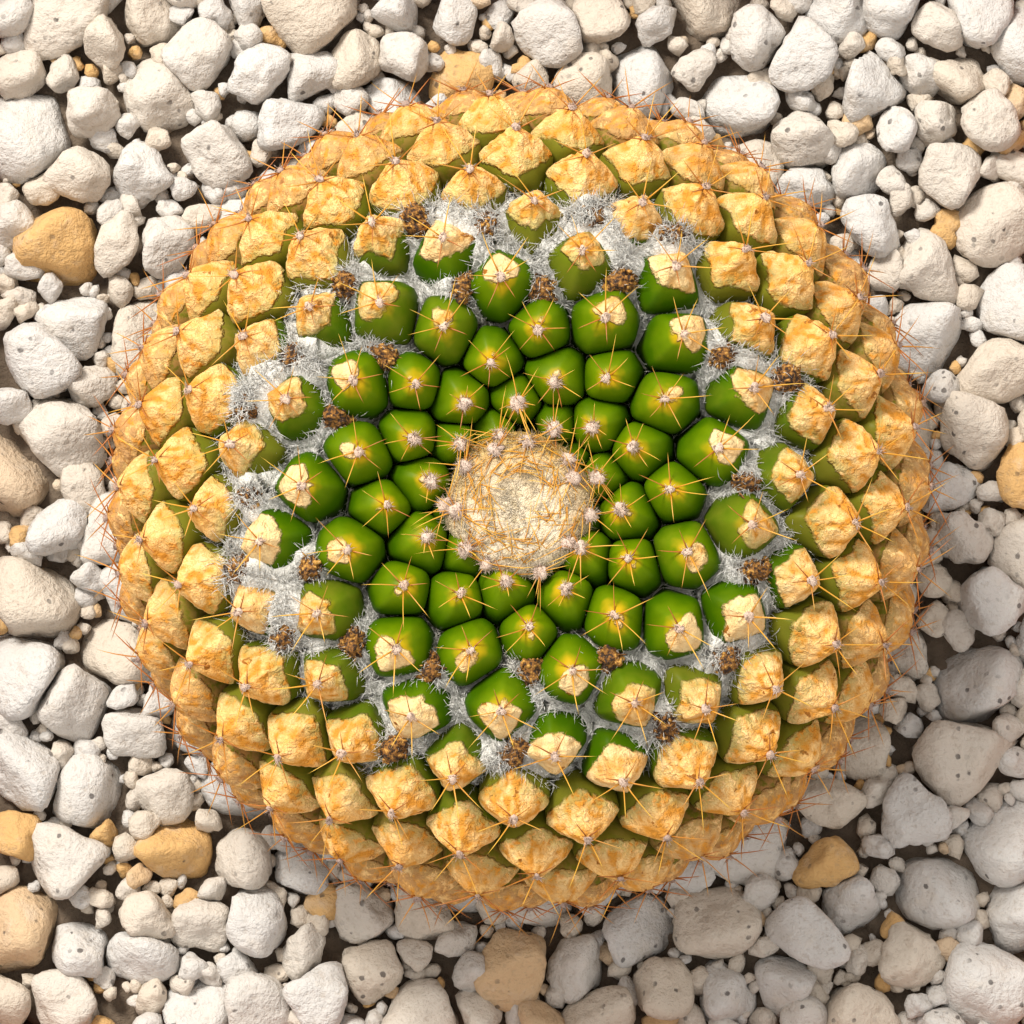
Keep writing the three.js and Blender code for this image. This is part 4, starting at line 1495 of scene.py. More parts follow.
@dataclass
class AxilWool:
    """Wool in the axils: a low soft net between the tubercles, and hair in patches round the flowers."""

    stem: Stem
    patches: Array
    per_side: int = 5
    hair_side: int = 8
    seed: int = 5
    hairs: int = 15400
    matted_share: float = 0.48
    tuft_hairs: int = 64
    patch_radius: float = 4.9
    last: int = 130
    under_tint: float = 0.10
    lift: float = 0.1
    curl: float = 0.22
    tuft_curl: float = 0.35
    fill_ages: tuple[float, ...] = (12, 40, 50, 57, 66, 84, 100, 118, 130)
    fill_rises: tuple[float, ...] = (0.05, 0.08, 0.14, 0.22, 0.28, 0.25, 0.16, 0.09, 0.05)
    rows: tuple[Span, ...] = (
        (0.75, -0.16),
        (0.50, -0.03),
        (0.28, 0.02),
        (0.12, 0.02),
        (0.0, 0.0),
    )

    def patch_at(self, places: Array) -> Array:
        """How far places lie in a patch of wool.

        Args:
            places: Places in millimetres, with x, y, z last.

        Returns:
            Shares from 0 outside to 1 in the middle.
        """
        away = np.linalg.norm(places[..., None, :] - self.patches, axis=-1)
        share = np.exp(-((away / self.patch_radius) ** 2)).sum(axis=-1)
        return np.clip(share * (1 + 0.5 * lumps(places, 3.2, 6.0)), 0, 1)

    def rise_at(self, age: Array, places: Array) -> Array:
        """How high the wool stands.

        Args:
            age: Ages of the places.
            places: The places, on the floor of the axils.

        Returns:
            The wool's rises, as shares of the tubercles' length.
        """
        fill = np.interp(age, self.fill_ages, self.fill_rises)
        uneven = 1 + 0.5 * lumps(places, 6.0, 2.0) + 0.3 * lumps(places, 2.2, 4.0)
        return np.clip(fill * uneven + 0.48 * self.patch_at(places), 0.02, 0.72)

    def tint_at(self, age: Values) -> Values:
        """Colour value of the wool: greyish among the youngest and the oldest, white between."""
        return 0.6 - 0.6 * smoothstep(age, 42, 56) + 0.5 * smoothstep(age, 95, 150)

    def sides(self, cell: Cell, per_side: int) -> tuple[Array, ...]:
        """Lays out places round a tubercle.

        Args:
            cell: Its cell.
            per_side: Places along each side.

        Returns:
            The axil's floor and upper end, the ages and the wool's rises.
        """
        low = self.stem.lattice.border(cell, 0.0, per_side)
        high = self.stem.lattice.border(cell, 1.0, per_side)
        ages = np.array([corner.age for _, corner in cell.corners])
        share = np.arange(per_side) / per_side
        age = (ages[:, None] * (1 - share) + np.roll(ages, -1)[:, None] * share).reshape(-1)
        return low, high, age, self.rise_at(age, low)

    def net_rings(self, cell: Cell) -> Skin:
        """Lays a closed cuff of wool round one tubercle.

        Args:
            cell: The tubercle's cell.

        Returns:
            Places as (rings, sides, 3) and the marks as (rings, sides).
        """
        low, high, age, rise = self.sides(cell, self.per_side)
        way = unit(high - low)
        rings = []
        for inward, change in self.rows:
            level = np.maximum(0.02, rise + change)
            border = low + (high - low) * level[:, None]
            middle = cell.root + (cell.tip - cell.root) * level[:, None]
            place = border + (middle - border) * inward
            fluff = 0.45 * lumps(place, 2.6, 8.0) + 0.12 * lumps(place, 1.2, 1.0)
            rings.append(place + way * fluff[:, None])
        rings.append(low + way * self.lift)
        rings.append(low + way * self.lift + (cell.root - low) * self.rows[0][0])
        tint = np.minimum(1.0, self.tint_at(age) + self.under_tint)
        tints = np.repeat(tint[None], len(rings), axis=0)
        return np.array(rings), {"along": np.zeros_like(tints), "tint": tints}

    def build(self, finish: WoolFinish) -> None:
        """Builds the net and its hairs as two pieces and dresses them.

        Args:
            finish: The wool's finish.
        """
        material = finish.material()
        cells = [cell for cell in self.stem.lattice.tubercles() if cell.age <= self.last]
        net = join_skins([self.net_rings(cell) for cell in cells], Pattern.cuff)
        finish_piece("axil_wool", net, material)
        finish_piece("axil_hairs", self.hair_mesh(cells), material)

    def hair_roots(self, cells: list[Cell]) -> tuple[list[Root], list[float]]:
        """Finds the places along the axils where hairs can stand.

        Args:
            cells: The tubercles' cells.

        Returns:
            Rows of a cell, the axil's floor and upper end, the wool's rise and the age, and their weights.
        """
        roots = []
        weights = []
        for cell in cells:
            low, high, age, rise = self.sides(cell, self.hair_side)
            ring = 0.12 * np.exp(-(((age - 74) / 24) ** 2)) + 0.015
            weight = ring + self.patch_at(low)
            for k in range(len(low)):
                roots.append((cell, low[k], high[k], float(rise[k]), float(age[k])))
                weights.append(float(weight[k]))
        return roots, weights

    def hair_mesh(self, cells: list[Cell]) -> Mesh:
        """Lays hairs matted on the net and combed from it up over the flanks, most in the patches.

        Args:
            cells: The tubercles' cells.

        Returns:
            The mesh of all hairs.
        """
        draw = Random(self.seed)
        strands = Strands(3, 3)
        roots, weights = self.hair_roots(cells)
        for cell, low, high, rise, age in draw.choices(roots, weights, k=self.hairs):
            matted = draw.random() < self.matted_share
            at = rise + (0.06 if matted else draw.uniform(-0.02, 0.09))
            start = low + (high - low) * at
            core = cell.root + (cell.tip - cell.root) * at
            start = start + (core - start) * draw.uniform(0, 0.20)
            loose = stray(draw)
            up = unit(high - low)
            if matted:
                flat = loose - up * np.dot(loose, up)
                way = unit(unit(flat) + up * draw.uniform(0.1, 0.7))
                bend = loose * self.curl - up * draw.uniform(0.0, 0.3)
            else:
                above = min(0.95, at + draw.uniform(0.12, 0.34))
                axle = cell.root + (cell.tip - cell.root) * above
                goal = low + (high - low) * above - axle
                goal = axle + goal * (self.stem.width(above, cell.age) + 0.06)
                way = unit(unit(goal - start) + 0.42 * loose)
                bend = stray(draw) * self.curl
            tint = float(self.tint_at(age)) * draw.uniform(0.5, 1.0)
            strands.add(start, way, bend, draw.uniform(0.9, 2.4), draw.uniform(0.09, 0.14), tint)
        self.add_tufts(strands, draw)
        return strands.mesh("hairs", "tint", 0.5)

    def add_tufts(self, strands: Strands, draw: Random) -> None:
        """Stands curly hairs up in the middle of each patch.

        Args:
            strands: Takes the hairs.
            draw: Random draws.
        """
        for centre in self.patches:
            out = unit(centre * np.array((1, 1, 0)))
            up = unit(out * 0.35 + STRAIGHT_UP)
            for _ in range(self.tuft_hairs):
                loose = np.array((draw.gauss(0, 1), draw.gauss(0, 1), draw.gauss(0, 0.5)))
                start = centre + loose * 1.7 + up * draw.uniform(0.4, 2.2)
                way = unit(loose + up * draw.uniform(0.1, 1.2))
                bend = stray(draw) * self.tuft_curl
                length, thick = draw.uniform(1.1, 2.6), draw.uniform(0.08, 0.12)
                strands.add(start, way, bend, length, thick, 0.1 * draw.random())


@dataclass
class Areoles:
    """A small felt cushion with short hairs at the tip of every tubercle."""

    lattice: Lattice
    radius: float = 0.50
    height: float = 0.30
    hairs: int = 16
    old_hairs: int = 9
    bare_age: int = 140
    seed: int = 19

    def build(self, finish: WoolFinish) -> None:
        """Builds the cushions and hairs as one piece and dresses it.

        Args:
            finish: The felt's finish.
        """
        draw = Random(self.seed)
        pattern = Pattern.ball(2)
        places = []
        tints = []
        strands = Strands(3, 3)
        for cell in self.lattice.tubercles():
            up = cell.up
            north = cell.crest
            young = 1 - float(smoothstep(cell.age, 18, 34))
            old = float(smoothstep(cell.age, 62, 170))
            size = self.radius * (1 + 0.45 * young - 0.15 * old + 0.25 * draw.random())
            tint = 0.05 + 0.75 * old + 0.2 * draw.random()
            stretched = pattern.co * np.array((size, size * 1.15, self.height * (1 + young)))
            ball = stretched @ np.array((cell.east, north, up)) + cell.tip
            ball += lumps(ball, 0.7, 4.0)[:, None] * unit(ball - cell.tip) * 0.42
            places.append(ball)
            tints.append(tint)
            for _ in range(self.hairs if cell.age < self.bare_age else self.old_hairs):
                spin = draw.uniform(0, FULL_TURN)
                across = cell.east * math.cos(spin) + north * math.sin(spin)
                start = cell.tip + across * size * draw.uniform(0.2, 0.9) + up * 0.2
                way = unit(across * draw.uniform(0.3, 1.0) + up * draw.uniform(0.2, 1.0))
                bend = across * 0.2 - up * draw.uniform(0, 0.4)
                strands.add(start, way, bend, draw.uniform(0.45, 1.0), 0.12, tint * draw.uniform(0.5, 1.2))
        bm = join_meshes([pattern.felt(places, tints), strands.mesh("hairs", "tint", 0.5)])
        finish_piece("areole_felt", bm, finish.material())


@dataclass
class CrownWool:
    """The wool cushion of the growing point, with the felt tufts of the youngest areoles round it."""

    lattice: Lattice
    radius: float = 9.8
    lobe: float = 0.8
    crest: float = 2.6
    bowl: float = 0.80
    sag: float = 4.0
    level: float = 146.2
    middle: Span = (-0.1, -2.3)
    seed: int = 31
    hairs: int = 4200
    longitudes: int = 96
    latitudes: int = 40
    first_tuft: int = 6
    last_tuft: int = 33
    tuft_hairs: int = 80
    tuft_lift: float = 0.5
    perch_lift: float = 0.3
    fluffs: tuple[tuple[float, float, float], ...] = (
        (0.16, 2.9, 2.0),
        (0.13, 1.1, 6.0),
        (0.11, 0.5, 6.0),
    )

    def reach(self, angle: Array) -> Array:
        """How far the cushion reaches at a longitude."""
        wave = np.stack([np.cos(angle) * 2, np.sin(angle) * 2, np.zeros_like(angle)], axis=-1)
        return self.radius + self.lobe * lumps(wave, 1.0, 3.0)

    def surface(self, turn: float, share: float) -> Array:
        """A place on the cushion, at a longitude and a share of its reach."""
        centre = np.array((*self.middle, self.level + self.crest * float(self.swell(np.array(share)))))
        return centre + heading(turn) * (float(self.reach(np.array(turn))) * share)

    def swell(self, share: Array) -> Array:
        """Height over the rim as a share of the crest: a shallow bowl with a rounded edge."""
        edge = np.maximum(0, 1 - share**4) ** 0.6
        return edge * (self.bowl + (1 - self.bowl) * smoothstep(share, 0.1, 0.75))

    def tuft_places(self) -> list[tuple[int, Array]]:
        """Places the tufts: the youngest crowd on the cushion's rim, the others on their own tips.

        Returns:
            Rows of an age and a place.
        """
        growth = self.lattice.growth
        places = []
        for age in range(self.first_tuft, self.last_tuft + 1):
            tip = growth.point(age, growth.longitude(age), 1.0) + STRAIGHT_UP * self.tuft_lift
            away = tip[:2] - np.array(self.middle)
            turn = math.atan2(away[1], away[0])
            share = float(np.hypot(*away) / self.reach(np.array(turn)))
            if share < 1.05:
                share = min(1.0, max(share, 0.80 + 0.02 * (age - self.first_tuft)))
                perch = self.surface(turn, share) + STRAIGHT_UP * self.perch_lift
                tip = np.array((perch[0], perch[1], max(perch[2], tip[2])))
            places.append((age, tip))
        return places

    def cushion(self) -> Mesh:
        """Makes the cushion: a ball drawn out to the wool's bowl and its rounded underside.

        Returns:
            The mesh.
        """
        bm = bmesh.new()
        bmesh.ops.create_uvsphere(bm, u_segments=self.longitudes, v_segments=self.latitudes, radius=1)
        pattern = Pattern(bm)
        angle = np.arctan2(pattern.co[:, 1], pattern.co[:, 0])
        share = np.hypot(pattern.co[:, 0], pattern.co[:, 1])
        reach = self.reach(angle) * share
        lift = np.where(pattern.co[:, 2] > 0, self.crest * self.swell(share), self.sag * pattern.co[:, 2])
        places = np.stack([reach * np.cos(angle), reach * np.sin(angle), self.level + lift], axis=-1)
        places[:, :2] += self.middle
        fluff = sum(depth * lumps(places, size, seed) for depth, size, seed in self.fluffs)
        places[:, 2] += fluff * (pattern.co[:, 2] > -0.2)
        marks = {"along": np.zeros((1, len(share))), "tint": self.tint_at(angle, share)[None]}
        return pattern.repeat("cushion", places[None], marks)

    def build(self, finish: WoolFinish) -> None:
        """Builds the cushion and its hairs as one piece and dresses it.

        Args:
            finish: The wool's finish.
        """
        draw = Random(self.seed)
        strands = Strands(3, 3)
        for _ in range(self.hairs):
            turn = draw.uniform(0, FULL_TURN)
            out = math.sqrt(draw.random()) * 0.99
            start = self.surface(turn, out)
            across = heading(draw.uniform(0, FULL_TURN))
            way = unit(across + STRAIGHT_UP * draw.uniform(0.0, 0.3))
            bend = aside(across) * draw.uniform(-0.5, 0.5) - STRAIGHT_UP * (0.15 + 0.35 * out)
            tint = float(self.tint_at(np.array(turn), np.array(out))) * draw.uniform(0.3, 1.2)
            length, thick = draw.uniform(0.9, 2.1), draw.uniform(0.06, 0.10)
            strands.add(start, way, bend, length, thick, min(1.0, tint))
        bm = join_meshes([self.cushion(), strands.mesh("hairs", "tint", 0.5)])
        finish_piece("crown_wool_felt", bm, finish.material(), ["crown_wool"])

    def tint_at(self, angle: Array, share: Array) -> Array:
        """Tints the cushion: cream in the middle, golden brown toward its far side.

        Args:
            angle: Longitudes.
            share: Shares of the reach.

        Returns:
            Tints from 0 to 1.
        """
        far = np.sin(angle) * share
        spot = np.stack([np.cos(angle) * share, far, np.zeros_like(far)], axis=-1)
        rim = 0.40 * smoothstep(share, 0.40, 0.95)
        return np.clip(0.04 + rim + 0.5 * far + 0.35 * lumps(spot, 0.3), 0, 1)

    def build_tufts(self, finish: WoolFinish) -> None:
        """Builds the pinkish white felt tufts of the youngest areoles.

        Args:
            finish: The felt's finish.
        """
        draw = Random(self.seed + 1)
        ball = Pattern.ball(2)
        strands = Strands(3, 3)
        places = []
        tints = []
        for age, tip in self.tuft_places():
            size = 1.10 + 0.2 * draw.random() - 0.32 * float(smoothstep(age, 18, 33))
            tuft = ball.co * np.array((size, size, size * 0.7)) * 0.82 + tip
            tuft = tuft + lumps(tuft, 0.7, 3.0)[:, None] * ball.co * 0.7
            places.append(tuft)
            tints.append(0.05 + 0.35 * draw.random())
            for _ in range(self.tuft_hairs):
                loose = stray(draw)
                way = unit(np.array((loose[0], loose[1], 0.7 * abs(loose[2]))))
                bend = np.array((draw.uniform(-0.4, 0.4), draw.uniform(-0.4, 0.4), -0.3))
                tint = 0.35 * draw.random()
                strands.add(tip + way * size * 0.6, way, bend, size * draw.uniform(0.4, 1.0), 0.09, tint)
        bm = join_meshes([ball.felt(places, tints), strands.mesh("hairs", "tint", 0.5)])
        finish_piece("crown_tufts", bm, finish.material())


@dataclass
class FlowerRemains:
    """Crumbly dried flowers in the axils where the solid stem has them, with wool round them."""

    lattice: Lattice
    count: int = 30
    wool_count: int = 46
    crumbs: int = 9
    flakes: int = 16
    seed: int = 2024
    apart: float = 9.0
    youngest: float = 50.0
    oldest: float = 86.0
    tries: int = 4000
    closer: float = 0.62
    foot_rise: float = 0.25
    wool_rise: float = 0.3
    pick_rise: float = 0.5
    top_rise: float = 0.78
    core_tint: float = 0.42

    def axils(self, count: int) -> list[Corner]:
        """Picks axils well apart from each other.

        Args:
            count: How many. A smaller count gives the first ones of a larger.

        Returns:
            The axils.
        """
        draw = Seeded(self.seed)
        corners = {}
        for cell in self.lattice.cells.values():
            for _, corner in cell.corners:
                if self.youngest < corner.age < self.oldest:
                    corners[(corner.age, corner.angle)] = corner
        in_order = sorted(corners.values(), key=lambda corner: corner.age)
        chosen: list[tuple[Corner, Array]] = []
        for _ in range(self.tries):
            if len(chosen) == count:
                break
            corner = in_order[int(draw() * len(in_order))]
            here = self.place(corner, self.pick_rise)
            apart = self.apart if len(chosen) < self.count else self.closer * self.apart
            if all(np.linalg.norm(other - here) > apart for _, other in chosen):
                chosen.append((corner, here))
        return [corner for corner, _ in chosen]

    def place(self, corner: Corner, rise: float) -> Array:
        """The place in an axil at a rise."""
        return self.lattice.growth.point(corner.age, corner.angle, rise)

    def wool_places(self) -> Array:
        """Middles of the wool patches: round each flower's remains, and in some axils without."""
        return np.array([self.place(corner, self.wool_rise) for corner in self.axils(self.wool_count)])

    def build(self, finish: RemainsFinish) -> None:
        """Builds the crumbs and their loose flakes as one piece and dresses it.

        Args:
            finish: The remains' finish.
        """
        draw = Random(self.seed)
        core, crumb = Pattern.cube_ball(9), Pattern.ball(2)
        strands = Strands(3, 4)
        cores = []
        crumbs = []
        tints = []
        for corner in self.axils(self.count):
            low = self.place(corner, self.foot_rise)
            top = self.place(corner, self.top_rise)
            up = unit(top - low)
            facing = heading(corner.angle + draw.uniform(-0.8, 0.8)) + STRAIGHT_UP * 0.3
            right = unit(np.cross(up, facing))
            fore = np.cross(right, up)
            axes = np.array((right, fore, up))
            half = np.array((draw.uniform(1.5, 1.9), draw.uniform(1.9, 2.6), np.linalg.norm(top - low) / 2))
            middle = (low + top) / 2
            lump = (core.co * half) @ axes + middle
            grain = 1.1 * np.abs(lumps(lump, 0.8, 2.0)) + 0.5 * lumps(lump, 2.2) - 0.25
            cores.append(lump + (core.co @ axes) * grain[:, None])
            for _ in range(self.crumbs):
                way = unit(np.array((draw.gauss(0, 1), draw.gauss(0, 1), draw.uniform(0.1, 1.3))))
                size = np.array([draw.uniform(0.22, 0.55) for _ in range(3)])
                spot = (way * half * draw.uniform(0.8, 1.1)) @ axes + middle
                piece = (crumb.co * size) @ axes
                rough = 0.5 * lumps(piece + spot, 0.5, 5.0)
                crumbs.append(piece + spot + (crumb.co @ axes) * rough[:, None])
                tints.append(draw.random())
            for _ in range(self.flakes):
                way = up * draw.uniform(0.2, 1.2) + right * draw.uniform(-1, 1)
                way = unit(way + fore * draw.uniform(-1, 1))
                start = (low + 3 * top) / 4 + right * draw.uniform(-1.3, 1.3)
                start = start + fore * draw.uniform(-1.6, 1.6)
                bend = right * draw.uniform(-0.6, 0.6) + fore * draw.uniform(-0.6, 0.6)
                length, thick = draw.uniform(0.6, 1.5), draw.uniform(0.22, 0.5)
                strands.add(start, way, bend, length, thick, draw.random())
        core_mesh = core.felt(cores, [self.core_tint] * len(cores))
        bm = join_meshes([core_mesh, crumb.felt(crumbs, tints), strands.mesh("flakes", "tint", 0.6)])
        finish_piece("flower_remains", bm, finish.material())


@dataclass
class PumiceDressing:
    """The pumice top dressing: a stone on each place of the solid's, smaller ones between, a bed below."""

    valley: float = 98.6
    count: int = 152
    hole_radius: float = 43.2
    bed_foot: float = 90.4
    floor_half: float = 56.0
    rim_half: float = 82.0
    floor_level: float = 7.0
    rim_level: float = 110.0
    gap: float = 0.35
    seed: int = 4107
    plant_reach: float = 56.0
    facets: int = 12
    sharpness: float = 8.0
    pebbles: int = 250
    grit: int = 720
    tries: int = 14
    edge_margin: float = 4.6
    hole_margin: float = 4.4
    corner_radius: float = 6.0
    low_reach: float = 64.0
    height_seed: int = 900
    neighbours: int = 7
    grit_edge: float = 3.0
    grit_tries: int = 12
    wall_gap: float = 0.5
    bed_steps: int = 36
    bed_sides: int = 300
    squareness: float = 9.0

    def wall(self, height: Values) -> Values:
        """Half the width inside the pot at a height."""
        share = (height - self.floor_level) / (self.rim_level - self.floor_level)
        return self.floor_half + (self.rim_half - self.floor_half) * share

    def stone_places(self) -> list[Span]:
        """Draws the stones' places as for the solid bed.

        Returns:
            Their middles, in x and y.
        """
        draw = Seeded(self.seed)
        edge = self.wall(self.valley) - self.gap - self.edge_margin
        inner = edge - self.corner_radius
        stones: list[Span] = []
        while len(stones) < self.count:
            best = None
            for _ in range(self.tries):
                x = (2 * draw() - 1) * edge
                y = (2 * draw() - 1) * edge
                corner = math.hypot(max(0, abs(x) - inner), max(0, abs(y) - inner))
                if math.hypot(x, y) < self.hole_radius + self.hole_margin or corner > self.corner_radius:
                    continue
                room = min([math.hypot(sx - x, sy - y) for sx, sy in stones], default=1000)
                if best is None or room > best[0]:
                    best = (room, x, y)
            if best is not None:
                stones.append((best[1], best[2]))
        return stones

    def stone(self, ball: Array, centre: Array, size: float, walls: Array, draw: Random) -> Array:
        """Chips one stone out of a ball.

        Args:
            ball: Places on the ball.
            centre: Middle of the stone.
            size: Its radius.
            walls: Its neighbours' borders, as rows of a direction and a distance.
            draw: Random draws.

        Returns:
            Places on the stone.
        """
        normals = unit(np.array([[draw.gauss(0, 1) for _ in range(3)] for _ in range(self.facets)]))
        flat = 1 - 0.32 * np.abs(normals[:, 2])
        depth = flat * np.array([size * draw.uniform(0.74, 1.12) for _ in range(self.facets)])
        if len(walls):
            normals = np.concatenate([normals, walls[:, :3]])
            depth = np.concatenate([depth, walls[:, 3]])
        reach = np.maximum(ball @ normals.T, 1e-4) / depth
        radius = np.sum(reach**self.sharpness, axis=1) ** (-1 / self.sharpness)
        places = ball * np.minimum(radius, size * 1.35)[:, None] + centre
        seed = draw.uniform(0, 50)
        rough = 0.10 * size * lumps(places, size * 0.6, seed) + 0.30 * lumps(places, 1.5, seed)
        rough = rough - 0.9 * np.maximum(0, lumps(places, 1.5, seed + 3) - 0.25)
        places = places + ball * rough[:, None]
        limit = self.wall(places[:, 2]) - self.wall_gap
        places[:, 0] = np.clip(places[:, 0], -limit, limit)
        places[:, 1] = np.clip(places[:, 1], -limit, limit)
        return places

    def build(self, finish: PumiceFinish, bed: PumiceFinish) -> None:
        """Builds the stones, the smaller ones and the bed as three pieces and dresses them.

        Args:
            finish: The stones' finish.
            bed: The bed's finish.
        """
        material = finish.material()
        draw = Random(self.seed)
        spots = np.array(self.stone_places())
        fine, coarse = Pattern.cube_ball(8), Pattern.ball(2)
        groups: dict[bool, list[Stone]] = {False: [], True: []}
        sizes = []
        for index, (x, y) in enumerate(spots):
            away = np.hypot(spots[:, 0] - x, spots[:, 1] - y)
            near = np.argsort(away)[1 : self.neighbours + 1]
            hidden = math.hypot(x, y) < self.plant_reach
            least, spread = (3.6, 1.2) if math.hypot(x, y) < self.low_reach else (4.4, 2.6)
            tall = least + spread * Seeded(self.height_seed + index)()
            size = 0.5 * float(np.mean(away[near[:4]])) * draw.uniform(0.86, 1.30)
            directions = np.stack([spots[near, 0] - x, spots[near, 1] - y, np.zeros(len(near))], axis=-1)
            room = away[near] / 2 * np.array([draw.uniform(0.96, 1.14) for _ in near])
            walls = np.concatenate([unit(directions), room[:, None]], axis=1)
            centre = np.array((x, y, self.valley + tall - size * 0.66))
            pattern = coarse if hidden else fine
            places = self.stone(pattern.co, centre, size, walls, draw)
            places[:, 2] += self.valley + tall - places[:, 2].max()
            # Stones under the plant get a little painted shade.
            groups[hidden].append((places, draw.random(), 0.2 if hidden else 0.0))
            sizes.append(size)
        meshes = [self.stone_mesh(fine, groups[False]), self.stone_mesh(coarse, groups[True])]
        finish_piece("pumice_stones", join_meshes(meshes), material, ["pumice_gravel"])
        taken = np.concatenate([spots, np.array(sizes)[:, None] * 0.84], axis=1)
        self.build_grit(material, taken, draw)
        self.build_bed(bed)

    @staticmethod
    def stone_mesh(pattern: Pattern, stones: list[Stone]) -> Mesh:
        """Makes one mesh of stones, each given by its places, tint and amount of painted shade."""
        places, tint, painted_shade = (np.array(column) for column in zip(*stones))
        return pattern.repeat("stones", places, {"tint": tint, "painted_shade": painted_shade})

    def build_grit(self, material: Material, taken: Array, draw: Random) -> None:
        """Builds the pebbles and the fine grit that fill the gaps round the stones.

        Args:
            material: The stones' material.
            taken: The stones already laid, as rows of x, y and radius.
            draw: Random draws.
        """
        edge = self.wall(self.valley) - self.grit_edge
        meshes = []
        for count, level, least, most, pattern in (
            (self.pebbles, 2.4, 2.0, 4.0, Pattern.ball(3)),
            (self.grit, 1.3, 1.0, 2.3, Pattern.ball(2)),
        ):
            grains: list[Stone] = []
            while len(grains) < count:
                tries = np.array([draw.uniform(-edge, edge) for _ in range(2 * self.grit_tries)])
                tries = tries.reshape(-1, 2)
                tries = tries[np.hypot(tries[:, 0], tries[:, 1]) > self.hole_radius + 2.5]
                if not len(tries):
                    continue
                away = np.hypot(taken[None, :, 0] - tries[:, :1], taken[None, :, 1] - tries[:, 1:])
                room = (away - taken[None, :, 2]).min(axis=1)
                best = int(room.argmax())
                x, y = tries[best]
                size = float(np.clip(room[best] + draw.uniform(0.3, 1.1), least, most))
                sunk = max(0.0, size - float(room[best]))
                centre = np.array((x, y, self.valley + level - 0.9 * sunk - draw.uniform(0, 0.8)))
                places = self.stone(pattern.co, centre, size, np.zeros((0, 4)), draw)
                # Grit sunk between the stones gets painted shade by its depth.
                grains.append((places, draw.random() ** 0.45, min(0.45, 0.06 * sunk)))
                taken = np.concatenate([taken, [(x, y, size * 0.9)]])
            meshes.append(self.stone_mesh(pattern, grains))
        finish_piece("pumice_grit", join_meshes(meshes), material)

    def build_bed(self, finish: PumiceFinish) -> None:
        """Builds the closed body of the bed under the stones, round the stem's hole.

        Args:
            finish: The bed's finish.
        """
        turn = np.arange(self.bed_sides) / self.bed_sides * FULL_TURN
        spoke = np.stack([np.cos(turn), np.sin(turn)], axis=-1)
        square = (np.abs(spoke) ** self.squareness).sum(axis=1, keepdims=True) ** (-1 / self.squareness)
        top = [(self.valley, step / (self.bed_steps - 1)) for step in range(self.bed_steps)]
        rings = []
        for level, share in [*top, (self.bed_foot, 1.0), (self.bed_foot, 0.0)]:
            limit = float(self.wall(level)) - self.wall_gap
            inner = spoke * (self.hole_radius - 0.2)
            reach = inner + (spoke * square * limit - inner) * share
            ring = np.column_stack([reach, np.full(self.bed_sides, level)])
            if level > self.bed_foot:
                ring[:, 2] += 1.8 * flat_plates(ring, 3.0) + 0.9 * lumps(ring, 1.6) - 2.6
            rings.append(ring)
        pattern = Pattern.cuff(self.bed_sides, len(rings))
        places = pattern.ring_places(np.array([rings]))
        # The bed is nearly all painted shade.
        marks = {"tint": np.full(1, 0.8), "painted_shade": np.full(1, 0.92)}
        mesh = pattern.repeat("bed", places, marks)
        finish_piece("pumice_bed", mesh, finish.material(), ["pumice_gravel"])


